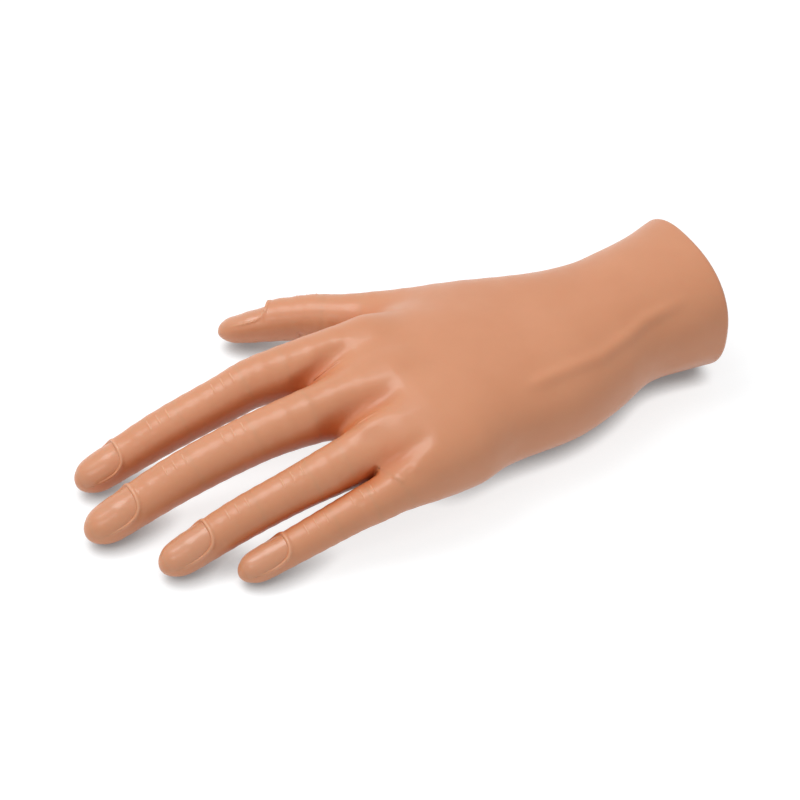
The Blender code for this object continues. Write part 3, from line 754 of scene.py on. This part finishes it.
def surface_net(values, lines):
    """Points and outward quads of the zero surface of values on a grid."""
    count = np.array(values.shape)
    cells = count - 1
    steps = np.eye(3, dtype=int)
    crossings = np.zeros(cells, np.int8)
    total = np.zeros(tuple(cells) + (3,), np.float32)
    for axis in range(3):
        for corner in np.ndindex(2, 2, 2):
            if corner[axis]:
                continue
            first, second = window(values, corner, cells), window(values, corner + steps[axis], cells)
            crossed = (first < 0) != (second < 0)
            share = np.where(crossed, first / np.where(crossed, first - second, 1), 0)
            for i in range(3):
                total[..., i] += np.where(crossed, corner[i] + (share if i == axis else 0), 0)
            crossings += crossed
    used = crossings > 0
    number = -np.ones(cells, int)
    number[used] = np.arange(used.sum())
    at = np.argwhere(used)
    inner = total[used] / crossings[used][:, None]
    points = np.stack([line[i] + (line[i + 1] - line[i]) * share
                       for line, i, share in zip(lines, at.T, inner.T)], 1)
    faces = []
    for axis in range(3):
        one, two = sides = [(axis + 1) % 3, (axis + 2) % 3]
        short = count - steps[axis]
        first = window(values, (0, 0, 0), short) < 0
        second = window(values, steps[axis], short) < 0
        edges = np.argwhere(first != second)
        edges = edges[((edges[:, sides] > 0) & (edges[:, sides] < cells[sides])).all(axis=1)]
        inside = first[tuple(edges.T)]
        quads = np.stack([number[tuple((edges - a * steps[one] - b * steps[two]).T)]
                          for a, b in ((1, 1), (0, 1), (0, 0), (1, 0))], 1)
        quads[~inside] = quads[~inside][:, ::-1]
        faces.append(quads)
    return points, np.concatenate(faces)


def slope_of(field, points, step=0.04):
    return np.stack([(in_lots(field, points + step * axis) - in_lots(field, points - step * axis))
                     / (2 * step) for axis in np.eye(3)], 1)


def rough_slope_of(field, points, value, step=0.05):
    return np.stack([(in_lots(field, points + step * axis) - value) / step for axis in np.eye(3)], 1)


def onto_surface(field, points, rounds=4, most=0.5):
    """Move points along the field's gradient until they lie on its zero surface."""
    for turn in range(rounds):
        value = in_lots(field, points)
        if turn % 2 == 0:
            slope = rough_slope_of(field, points, value)
        move = slope * (value / np.maximum(np.einsum("ij,ij->i", slope, slope), LEAST_SLOPE))[:, None]
        length = np.linalg.norm(move, axis=1)
        points = points - move * np.minimum(1, most / np.maximum(length, TINY))[:, None]
    return points


def feed(tree, socket, value):
    """Set a socket to a value, or link it to another node's output."""
    if isinstance(value, bpy.types.NodeSocket):
        tree.links.new(value, socket)
    else:
        socket.default_value = value


def connect(tree, node, **inputs):
    for name, value in inputs.items():
        feed(tree, node.inputs[name.replace("_", " ")], value)


def node_of(tree, kind, settings=None, **inputs):
    """A node with these settings; its inputs are values or other nodes' outputs."""
    node = tree.nodes.new(kind)
    for name, value in (settings or {}).items():
        setattr(node, name, value)
    connect(tree, node, **inputs)
    return node


def joined(tree, kind, sources, settings=None):
    """The output of a node whose first inputs come from these outputs, in their order."""
    node = node_of(tree, kind, settings)
    for socket, source in zip(node.inputs, sources):
        tree.links.new(source, socket)
    return node.outputs[0]


def new_material(name):
    material = bpy.data.materials.new(name)
    material.use_nodes = True
    tree = material.node_tree
    return material, tree, tree.nodes["Principled BSDF"]


def mixed(tree, amount, first, second):
    """A colour mix; each colour is a socket or three numbers."""
    node = node_of(tree, "ShaderNodeMix", {"data_type": "RGBA"}, Factor=amount)
    for socket, colour in ((node.inputs[6], first), (node.inputs[7], second)):
        feed(tree, socket, (*colour, 1.0) if isinstance(colour, tuple) else colour)
    return node.outputs[2]


def noise(tree, scale, detail=3.0, roughness=0.55, stretch=(1, 1, 1)):
    where = node_of(tree, "ShaderNodeTexCoord").outputs["Object"]
    place = node_of(tree, "ShaderNodeMapping", Vector=where, Scale=stretch).outputs["Vector"]
    return node_of(tree, "ShaderNodeTexNoise", Vector=place, Scale=scale, Detail=detail,
                   Roughness=roughness).outputs["Fac"]


def ranged(tree, value, low, high, to_low=0.0, to_high=1.0):
    return node_of(tree, "ShaderNodeMapRange", {"clamp": True}, Value=value, From_Min=low,
                   From_Max=high, To_Min=to_low, To_Max=to_high).outputs["Result"]


def bump(tree, height, strength, distance):
    return node_of(tree, "ShaderNodeBump", Height=height, Strength=strength,
                   Distance=distance).outputs["Normal"]


def skin_material(name, dark, roughness, coat):
    """Glossy soft plastic, slightly uneven, with painted highlight (the pale mark) and painted shade
    (the deep mark).
    """
    material, tree, shader = new_material(name)
    base = mixed(tree, ranged(tree, noise(tree, 38.0, 4.0), 0.35, 0.65), dark, SKIN_LIGHT)
    for mark, colour in (("pale", SKIN_PAINTED_HIGHLIGHT), ("deep", SKIN_PAINTED_SHADE)):
        amount = node_of(tree, "ShaderNodeAttribute", {"attribute_name": mark}).outputs["Fac"]
        base = mixed(tree, amount, base, colour)
    patches = noise(tree, 90.0, 5.0, 0.6)
    connect(tree, shader, Base_Color=base, IOR=1.5, Coat_Weight=coat, Coat_Roughness=0.12,
            Roughness=ranged(tree, patches, 0.3, 0.7, roughness - 0.05, roughness + 0.06),
            Normal=bump(tree, noise(tree, 1500.0, 3.0, 0.6), 0.08, 0.00006),
            Subsurface_Weight=0.2, Subsurface_Radius=(1.0, 0.35, 0.2), Subsurface_Scale=0.003)
    return material


def plain_material(name, colour, roughness, metal, grain_scale, grain_deep, stretch=(1, 1, 1)):
    """A material with a fine grain, its colour and roughness slightly uneven."""
    material, tree, shader = new_material(name)
    patches = noise(tree, 220.0, 4.0)
    dark = tuple(PATCH_SHADE * c for c in colour)
    grain = noise(tree, grain_scale, 3.0, 0.6, stretch)
    connect(tree, shader, Base_Color=mixed(tree, ranged(tree, patches, 0.3, 0.7), dark, colour),
            Roughness=ranged(tree, patches, 0.3, 0.7, roughness - 0.06, roughness + 0.06),
            Metallic=metal, Normal=bump(tree, grain, 0.3, grain_deep))
    return material


skin = skin_material("glossy vinyl skin", SKIN_DARK, 0.44, 0.16)
nail_look = skin_material("glossy nail", NAIL_DARK, 0.36, 0.25)
plug_look = plain_material("moulded plug", (0.62, 0.30, 0.19), 0.5, 0.0, 1600.0, 0.00008)
brass = plain_material("turned brass", (0.80, 0.58, 0.26), 0.3, 1.0, 300.0, 0.00002, (60, 1, 1))
aluminium = plain_material("drawn aluminium", (0.80, 0.81, 0.83), 0.36, 1.0, 260.0, 0.00002,
                           (0.05, 8, 8))
foam = plain_material("open-celled foam", (0.80, 0.74, 0.60), 0.9, 0.0, 900.0, 0.0004)


def placed(name, data):
    """A new object in the scene."""
    thing = bpy.data.objects.new(name, data)
    bpy.context.scene.collection.objects.link(thing)
    return thing


def piece_of(name, points, faces, material, normals=None, marks=None, smooth_to=SMOOTH_TO):
    """A mesh piece from places in the hand's frame; without normals its sharp edges stay sharp."""
    mesh = bpy.data.meshes.new(name)
    mesh.from_pydata(world(points).tolist(), [], [list(map(int, face)) for face in faces])
    mesh.shade_smooth()
    for mark, values in (marks or {}).items():
        layer = mesh.attributes.new(mark, "FLOAT", "POINT")
        layer.data.foreach_set("value", np.asarray(values, np.float32))
    mesh.materials.append(material)
    if normals is None:
        mesh.set_sharp_from_angle(angle=smooth_to)
    else:
        mesh.normals_split_custom_set_from_vertices(normals.tolist())
    return placed(name, mesh)


def whose(points):
    """The number of the digit nearest to each place."""
    fields = np.stack([in_lots(lambda p, d=digit: digit_field(p, d), points) for digit in DIGITS])
    return fields.argmin(axis=0)


def open_edges(faces):
    """Directed edges that only one face has."""
    edges = dict.fromkeys(edge for face in faces for edge in zip(face, face[1:] + face[:1]))
    return [(start, end) for start, end in edges if (end, start) not in edges]


def loops_of(edges):
    """Closed loops of directed edges."""
    following = {}
    for start, end in edges:
        following.setdefault(start, []).append(end)
    loops = []
    while following:
        first = next(iter(following))
        loop, at = [], first
        while at in following:
            loop.append(at)
            onward = following[at].pop()
            if not following[at]:
                del following[at]
            at = onward
            if at == first:
                break
        loops.append(loop)
    return loops


def split(points, faces):
    """The number of each face's piece: 0 for the palm, then each stretch of each digit."""
    middles = points[faces].mean(axis=1)
    part = np.zeros(len(faces), int)
    owner = np.full(len(faces), -1)
    reach = middles[:, 0] < DIGITS_FROM
    owner[reach] = whose(middles[reach])
    count = 0
    for place, digit in enumerate(DIGITS):
        beyond = owner == place
        for _, _, start, end in folds_of(digit):
            way = unit(end - start)
            beyond = beyond & ((middles - (start - SEAM_BEFORE * way)) @ way > 0)
            count += 1
            part[beyond] = count
    return part


def bmesh_of(points, faces):
    """An editable mesh."""
    shape = bpy.data.meshes.new("work")
    shape.from_pydata(points.tolist(), [], [list(map(int, face)) for face in faces])
    work = bmesh.new()
    work.from_mesh(shape)
    bpy.data.meshes.remove(shape)
    return work


def arrays_of(work):
    """The points and faces of an editable mesh, which is freed; no face has over four corners."""
    bmesh.ops.triangulate(work, faces=[face for face in work.faces if len(face.verts) > 4])
    work.verts.index_update()
    points = np.array([vert.co for vert in work.verts])
    faces = [[vert.index for vert in face.verts] for face in work.faces]
    work.free()
    return points, faces


def refined(points, faces):
    """The same mesh with finer faces at its fine lines, the new points put on the skin."""
    for _ in range(FINER_ROUNDS):
        near = fine_places(points)
        work = bmesh_of(points, faces)
        chosen = [edge for edge in work.edges
                  if near[edge.verts[0].index] and near[edge.verts[1].index] and not edge.is_boundary]
        bmesh.ops.subdivide_edges(work, edges=chosen, cuts=1, use_grid_fill=True)
        count = len(points)
        points, faces = arrays_of(work)
        points[count:] = onto_surface(skin_field, points[count:])
    return points, faces


def fine_places(points):
    """Where the skin has fine lines: round the nails, over the creases and at the knuckles."""
    fine = np.zeros(len(points), bool)
    for digit in DIGITS:
        s, _, away = nail_place(points, digit)
        fine |= by_nail(points, digit) & (np.abs(away) < FINER_MARGIN) & (s < FINER_NAIL_END)
        for number, bone in enumerate(digit.bones):
            if bone.creases:
                place, *ways = bend_at(digit, number)
                along, across, up = seen_from(points, place, *ways)
                fine |= ((np.abs(along - bone.creases) < CREASE_STEP + FINER_MARGIN)
                         & (np.abs(across - CREASE_OFFSET) < CREASE_REACH + FINER_MARGIN)
                         & (up > 0) & (np.linalg.norm(points - place, axis=1) < FINER_REACH))
    for path, width, _ in VALLEYS:
        if width < 1:
            fine |= np.abs(crest(points, path, FINER_MARGIN, 1.0)) > FINER_SHARE
    return fine


def fan(ring, centre):
    """Triangles from a ring of point numbers to one point."""
    return [(a, b, centre) for a, b in zip(ring, ring[1:] + ring[:1])]


def band(lower, upper):
    """Quads between two rings of point numbers."""
    return [(a, b, d, c) for a, b, c, d in zip(lower, lower[1:] + lower[:1],
                                               upper, upper[1:] + upper[:1])]


def capped(points, faces, loops):
    """The mesh with a cap over each open loop on its own points, and those points' normals."""
    all_points, all_faces, normals = [points], list(faces), []
    count = len(points)
    for loop in loops:
        ring, size = points[loop], len(loop)
        centre = ring.mean(axis=0)
        all_points += [ring, centre[None]]
        all_faces += fan(list(range(count, count + size))[::-1], count + size)
        way = unit(np.cross(np.roll(ring, -1, axis=0) - centre, ring - centre).sum(axis=0))
        normals += [way] * (size + 1)
        count += size + 1
    return np.concatenate(all_points), all_faces, normals


def wrist_ring(x, inset, cosines, sines):
    """The wrist's section at x, drawn in by inset, at the given turns."""
    centre_y, centre_z, half_width, half_height, fullness = section_at([x])[:, 0]
    y = (half_width - inset) * np.sign(cosines) * np.abs(cosines) ** (2 / fullness)
    z = (half_height - inset) * np.sign(sines) * np.abs(sines) ** (2 / fullness)
    return np.column_stack([np.full(len(y), x), centre_y + y, centre_z + z])


def quarter_round(radius, steps):
    """Places round a quarter of a circle, as their distances from its two sides."""
    return [(radius * (1 - math.cos(turn)), radius * (1 - math.sin(turn)))
            for turn in np.linspace(0, math.pi / 2, steps)]


def wrist_end(points, faces):
    """Cut the net at the wrist and go on round the rim and down the hollow's wall."""
    work = bmesh_of(points, faces)
    bmesh.ops.bisect_plane(work, geom=work.verts[:] + work.edges[:] + work.faces[:],
                           plane_co=(RIM_FROM, 0, 0), plane_no=(1, 0, 0), clear_outer=True)
    points, faces = arrays_of(work)
    on_plane = np.abs(points[:, 0] - RIM_FROM) < TINY / 10
    loop = loops_of([(a, b) for a, b in open_edges(faces) if on_plane[a] and on_plane[b]])[0]
    centre_y, centre_z, half_width, half_height, fullness = section_at([RIM_FROM])[:, 0]
    y, z = (points[loop, 1] - centre_y) / half_width, (points[loop, 2] - centre_z) / half_height
    size = oval_size(y, z, fullness)
    turns = [np.sign(a) * (np.abs(a) / size) ** (fullness / 2) for a in (y, z)]
    corner = quarter_round(RIM_ROUNDING, RIM_STEPS)
    rows = [(x, 0.0) for x in np.linspace(RIM_FROM, -RIM_ROUNDING, 4)[1:]]
    rows += [(-b, a) for a, b in corner[1:]] + [(-a, SKIN_WALL - b) for a, b in corner]
    rows += [(x, SKIN_WALL) for x in np.linspace(-RIM_ROUNDING, HOLLOW_END, WALL_STEPS)[1:]]
    rings = [wrist_ring(x, inset, *turns) for x, inset in rows]
    start = len(points)
    points = np.concatenate([points, *rings, rings[-1].mean(axis=0)[None]])
    levels = [loop, *np.arange(start, len(points) - 1).reshape(len(rings), -1).tolist()]
    for lower, upper in zip(levels, levels[1:]):
        faces += band(upper, lower)
    return points, faces + fan(levels[-1][::-1], len(points) - 1), start


def build_palm(points, faces):
    """The palm's skin with the wrist's rim and the hollow's wall."""
    points, faces, rim_start = wrist_end(points, faces)
    own = points[:, 0] < RIM_FROM + TINY
    own[rim_start:] = False
    normals = mesh_normals(points, faces)
    normals[own] = unit_rows(slope_of(skin_field, points[own]))
    piece = piece_of("palm_skin_soft", points, faces, skin, normals, marks_of(points))
    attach(piece, "palm")
    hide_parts("palm_skin")


def build_stretch(points, faces, loops, before, body, start, end):
    """The skin of a digit from one bend to the next, closed where it meets its neighbours."""
    normals, marks = unit_rows(slope_of(skin_field, points)), marks_of(points)
    points, faces, cap_normals = capped(points, faces, loops)
    marks = {mark: np.append(values, np.zeros(len(cap_normals))) for mark, values in marks.items()}
    normals = np.concatenate([normals, cap_normals])
    piece = piece_of(f"{body}_skin_soft", points, faces, skin, normals, marks)
    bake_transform(piece)
    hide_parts(f"{body}_skin")


def build_skin():
    """One closed skin over the whole hand, cut into the palm and the stretches of the digits."""
    lines = grid_lines()
    points, faces = surface_net(banded_values(split_hand_field, lines), lines)
    points = onto_surface(skin_field, points)
    part = split(points, faces)
    for i, fold in enumerate([None] + [fold for digit in DIGITS for fold in folds_of(digit)]):
        chosen = faces[part == i]
        numbers, local = np.unique(chosen, return_inverse=True)
        local = local.reshape(chosen.shape).tolist()
        loops = loops_of(open_edges(local))
        places, local = refined(points[numbers], local)
        if fold:
            build_stretch(places, local, loops, *fold)
        else:
            build_palm(places, local)


def unit_rows(vectors):
    return vectors / np.maximum(np.linalg.norm(vectors, axis=1), TINY)[:, None]


def mesh_normals(points, faces):
    """Smooth normals of a mesh from its faces' areas."""
    normals = np.zeros_like(points)
    for size in (3, 4):
        some = np.array([face for face in faces if len(face) == size])
        if len(some):
            across = points[some[:, 2]] - points[some[:, 0]]
            over = points[some[:, -1]] - points[some[:, 1]]
            for corner in range(size):
                np.add.at(normals, some[:, corner], np.cross(across, over))
    return unit_rows(normals)


def marks_of(points):
    """How much painted highlight (pale) and painted shade (deep) the skin has at each place."""
    slope = unit_rows(slope_of(hand_field, points, OPEN_STEP))
    closed = np.zeros(len(points))
    for reach in OPEN_REACH:
        covered = 1 - in_lots(hand_field, points + reach * slope) / reach
        closed += np.clip(covered, 0, 1) / len(OPEN_REACH)
    pale = np.zeros(len(points))
    # Painted highlight on the crease lines and the nail folds' crests
    for digit in DIGITS:
        pale = np.maximum(pale, crease_rise(points, digit) / CREASE_RISE)
        s, _, away = nail_place(points, digit)
        pale = np.maximum(pale, nail_fold(s, away, FOLD_HIGHLIGHT_WIDTH, FOLD_HIGHLIGHT_PAINT) * by_nail(points, digit))
    # Painted shade: darker, deeper orange where the skin is shut in and in the listed dips
    deep = (closed - SHADE_PAINT_FROM) * SHADE_PAINT_GAIN
    for dip in PAINTED_SHADE_DIPS:
        deep = np.maximum(deep, 0) + mound(points, *dip)
    return {"pale": PAINTED_HIGHLIGHT_SHARE * pale, "deep": np.clip(deep, 0, 1)}


def build_nail(digit):
    """A curved plate round the fingertip, its edge tucked under the skin's fold."""
    tip, along, side, out = nail_frame(digit)
    bone = digit.bones[-1]
    share = np.cos(np.linspace(NAIL_ENDS, 1 - NAIL_ENDS, NAIL_ALONG) * math.pi)
    half = digit.nail_length / 2
    place = share * np.where(share < 0, half + NAIL_TUCK, half)
    width = np.where(share < 0, (1 - np.abs(share) ** NAIL_REAR) ** (1 / NAIL_REAR), 1.0)
    across = np.sin(np.linspace(-1, 1, NAIL_ACROSS) * math.pi / 2)
    s = np.repeat(place, NAIL_ACROSS)
    turn = np.outer(width, across).ravel() * (NAIL_TURN + NAIL_TUCK / bone.half_width)
    middle = tip + np.outer(nail_centre(digit) + s, along)
    way = unit_rows(np.outer(np.sin(turn) * bone.half_width, side)
                    + np.outer(np.cos(turn) * bone.half_height, out))
    height = nail_height(s / half)
    reach = np.full(len(s), bone.half_width * NAIL_START)
    for _ in range(NAIL_ROUNDS):
        places = middle + reach[:, None] * way
        value = digit_field(places, digit) + taper(places, digit) - height
        reach = reach - np.clip(value, -1, 1) * NAIL_STEP
    points = np.concatenate([middle + np.maximum(reach - deep, least)[:, None] * way
                             for deep, least in zip((0, NAIL_DEEP), NAIL_LEAST)])
    grid = np.arange(len(s)).reshape(NAIL_ALONG, NAIL_ACROSS)
    quads = np.stack([grid[:-1, :-1], grid[1:, :-1], grid[1:, 1:], grid[:-1, 1:]], -1).reshape(-1, 4)
    rim = [*grid[0], *grid[1:, -1], *grid[-1, -2::-1], *grid[-2:0:-1, 0]]
    faces = [*quads, *(len(s) + quads[:, [0, 3, 2, 1]]), *band(rim, [len(s) + a for a in rim])]
    marks = {"pale": np.zeros(len(points)), "deep": np.zeros(len(points))}
    piece = piece_of(f"{digit.name}_nail_glossy", points, faces, nail_look, marks=marks,
                     smooth_to=PLATE_SMOOTH_TO)
    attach(piece, f"{digit.name}_nail")
    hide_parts(f"{digit.name}_nail")


def circle(count):
    """Cosines and sines of even turns."""
    turn = np.linspace(0, 2 * math.pi, count, endpoint=False)
    return np.cos(turn), np.sin(turn)


def ringed(name, rings, material):
    """A solid through successive closed rings, each end closed to its ring's middle."""
    points = np.concatenate([*rings, rings[0].mean(axis=0)[None], rings[-1].mean(axis=0)[None]])
    rows = np.arange(len(points) - 2).reshape(len(rings), -1).tolist()
    faces = fan(rows[0][::-1], len(points) - 2) + fan(rows[-1], len(points) - 1)
    for lower, upper in zip(rows, rows[1:]):
        faces += band(lower, upper)
    return piece_of(name, points, faces, material)


def build_plug():
    """The plate in the wrist, its edges rounded and its face moulded with a rim round a dish."""
    back, front = -PLUG_RECESS - PLUG_THICKNESS, -PLUG_RECESS
    edge = SKIN_WALL + PLUG_CLEARANCE
    corner = quarter_round(PLUG_EDGE, PLUG_STEPS)
    rows = [(back + a, edge + b) for a, b in corner] + [(front - b, edge + a) for a, b in corner]
    rows += [(front, edge + PLUG_RIM), (front - PLUG_DISH / 2, edge + PLUG_RIM + PLUG_DISH / 4),
             (front - PLUG_DISH, edge + PLUG_RIM + PLUG_DISH),
             (front - PLUG_DISH, edge + 2 * PLUG_RIM)]
    rings = [wrist_ring(x, inset, *circle(PLUG_SIDES)) for x, inset in rows]
    piece = ringed("wrist_plug_moulded", rings, plug_look)
    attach(piece, "plug")
    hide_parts("wrist_plug")


def build_ferrule():
    """The brass sleeve, turned with rounded lips and two crimp grooves."""
    inner = SLOT_RADIUS + WIRE_RADIUS + WIRE_CLEARANCE
    outer = inner + FERRULE_WALL
    front, back = FERRULE_FRONT, FERRULE_FRONT + FERRULE_LENGTH
    lip = [(x, outer - deep) for x, deep in LIP] + [(0, inner + LIP_INSIDE), (LIP_INSIDE, inner)]
    rows = [(front + x, radius) for x, radius in lip[::-1]]
    for share in GROOVES:
        middle = front + share * FERRULE_LENGTH
        rows += [(middle - x, outer - deep) for x, deep in GROOVE]
        rows += [(middle + x, outer - deep) for x, deep in GROOVE[::-1]]
    rows += [(back - x, radius) for x, radius in lip]
    cosines, sines = circle(FERRULE_SIDES)
    points = np.concatenate([np.column_stack([0 * sines + x, radius * cosines,
                                              FERRULE_HEIGHT + radius * sines]) for x, radius in rows])
    rings = np.arange(len(points)).reshape(len(rows), -1).tolist()
    faces = [quad for pair in zip(rings, rings[1:] + rings[:1]) for quad in band(*pair)]
    piece = piece_of("wire_ferrule_turned", points, faces, brass, smooth_to=PLATE_SMOOTH_TO)
    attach(piece, "palm")
    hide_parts("wire_ferrule")


def wire_path(digit, slot):
    """Places along a wire, from its tail behind the sleeve to its end near the fingertip."""
    turn = 2 * math.pi * slot / len(DIGITS)
    y = SLOT_RADIUS * math.cos(turn)
    z = FERRULE_HEIGHT + SLOT_RADIUS * math.sin(turn)
    back = FERRULE_FRONT + FERRULE_LENGTH
    points = joints_of(digit)
    end = points[-1] - WIRE_STOP * unit(points[-1] - points[-2])
    sleeve = [(back + WIRE_TAIL, y, z), (back, y, z), (FERRULE_FRONT, y, z)]
    knots = np.vstack([sleeve, points[:-1], end])
    distance = np.concatenate([[0], np.cumsum(np.linalg.norm(np.diff(knots, axis=0), axis=1))])
    at = np.concatenate([np.linspace(a, b, WIRE_STEPS, endpoint=False)
                         for a, b in zip(distance, distance[1:])])
    return hermite(distance, knots, np.append(at, distance[-1]))


def build_wire(digit, slot):
    """A digit's wire in one length for each bend."""
    path = wire_path(digit, slot)
    ways = np.gradient(path, axis=0)
    folds = folds_of(digit)
    cuts = [0]
    for (_, _, _, end), (_, _, start, _) in zip(folds, folds[1:]):
        cuts.append(int(np.linalg.norm(path - (start + end) / 2, axis=1).argmin()))
    cuts.append(len(path) - 1)
    cosines, sines = circle(WIRE_SIDES)
    for number, (before, body, start, end) in enumerate(folds):
        rings = []
        for i in range(cuts[number], cuts[number + 1] + 1):
            side = unit(np.cross(ways[i], (0, 0, 1)))
            up = np.cross(side, unit(ways[i]))
            rings.append(path[i] + WIRE_RADIUS * (np.outer(cosines, up) + np.outer(sines, side)))
        piece = ringed(f"{digit.name}_wire_{number + 1}", rings, aluminium)
        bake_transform(piece)
        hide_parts(f"{digit.name}_wire")


def build_foam():
    """The foam in the palm: the CAD's core with finer faces and open cells."""
    node = frame["nodes"]["foam_core"]
    work = bmesh.new()
    work.from_mesh(node.data)
    work.transform(node.matrix_world)
    for _ in range(FOAM_ROUNDS):
        long = [edge for edge in work.edges if edge.calc_length() > FOAM_CELL * MM]
        bmesh.ops.subdivide_edges(work, edges=long, cuts=1)
        bmesh.ops.triangulate(work, faces=work.faces[:])
    work.normal_update()
    for vert in work.verts:
        pit = mathutils.noise.noise(vert.co / (FOAM_PIT * MM))
        vert.co -= vert.normal * (FOAM_DEEP * MM * abs(pit))
    mesh = bpy.data.meshes.new("foam_core_soft")
    work.to_mesh(mesh)
    work.free()
    mesh.shade_smooth()
    mesh.set_sharp_from_angle(angle=SMOOTH_TO)
    mesh.materials.append(foam)
    piece = placed("foam_core_soft", mesh)
    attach(piece, "palm")
    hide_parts("foam_core")


build_skin()
for digit in DIGITS:
    build_nail(digit)
for slot, digit in zip(SLOTS, DIGITS):
    build_wire(digit, slot)
build_plug()
build_ferrule()
build_foam()


def look_at(thing, place, target):
    thing.location = place
    thing.rotation_euler = (Vector(target) - Vector(place)).to_track_quat("-Z", "Y").to_euler()


def area_light(name, place, target, side, power):
    light = bpy.data.lights.new(name, "AREA")
    light.shape = "RECTANGLE"
    light.size = light.size_y = side
    light.energy = power
    look_at(placed(name, light), place, target)


def plainly_seen(tree):
    """1 for the rays that see the stage as the camera does: straight, mirrored or through glass."""
    path = node_of(tree, "ShaderNodeLightPath")
    seen = path.outputs["Is Camera Ray"]
    for ray in ("Is Glossy Ray", "Is Transmission Ray"):
        seen = joined(tree, "ShaderNodeMath", (seen, path.outputs[ray]), {"operation": "MAXIMUM"})
    return seen


def make_floor():
    """A pale floor: the camera sees it glow, with a painted contact shadow where the glow dims near
    the hand; the hand sees it matt.
    """
    mesh = bpy.data.meshes.new("floor")
    corners = ((-1, -1), (1, -1), (1, 1), (-1, 1))
    mesh.from_pydata([(FLOOR_HALF * x, FLOOR_HALF * y, 0) for x, y in corners], [], [(0, 1, 2, 3)])
    floor = placed("floor", mesh)
    material, tree, shader = new_material("pale floor")
    tree.nodes.remove(shader)
    # Painted contact shadow: the glow dims where the hand shuts the floor in
    shadow_occlusion = node_of(tree, "ShaderNodeAmbientOcclusion", {"samples": 16}, Distance=PAINTED_SHADOW_REACH)
    strength = ranged(tree, shadow_occlusion.outputs["AO"], *PAINTED_SHADOW_RANGE, PAINTED_SHADOW_GLOW, FLOOR_GLOW)
    matt = node_of(tree, "ShaderNodeBsdfDiffuse", Color=FLOOR_MATT).outputs[0]
    glow = node_of(tree, "ShaderNodeEmission", Color=WHITE, Strength=strength).outputs[0]
    bouncing = node_of(tree, "ShaderNodeBsdfDiffuse", Color=FLOOR_BOUNCE).outputs[0]
    shown = joined(tree, "ShaderNodeAddShader", (matt, glow))
    surface = joined(tree, "ShaderNodeMixShader", (plainly_seen(tree), bouncing, shown))
    tree.links.new(surface, tree.nodes["Material Output"].inputs["Surface"])
    mesh.materials.append(material)


def make_studio():
    """A white dome, brighter for the camera than for the hand, and the lamps."""
    studio = bpy.data.worlds.new("studio")
    bpy.context.scene.world = studio
    studio.use_nodes = True
    tree = studio.node_tree
    dome = tree.nodes["Background"]
    connect(tree, dome, Color=WHITE, Strength=DOME)
    seen = node_of(tree, "ShaderNodeBackground", Color=WHITE, Strength=1.0).outputs[0]
    surface = joined(tree, "ShaderNodeMixShader", (plainly_seen(tree), dome.outputs[0], seen))
    tree.links.new(surface, tree.nodes["World Output"].inputs["Surface"])
    for lamp in LAMPS:
        area_light(*lamp)


def make_camera():
    data = bpy.data.cameras.new("camera")
    data.lens = LENS
    data.sensor_width = SENSOR
    data.clip_start = NEAREST
    camera = placed("camera", data)
    target = Vector(CAMERA_TARGET)
    look_at(camera, target + CAMERA_DISTANCE * Vector(CAMERA_BACK), target)
    bpy.context.scene.camera = camera


make_floor()
make_studio()
make_camera()
bpy.context.scene.view_settings.view_transform = "Standard"
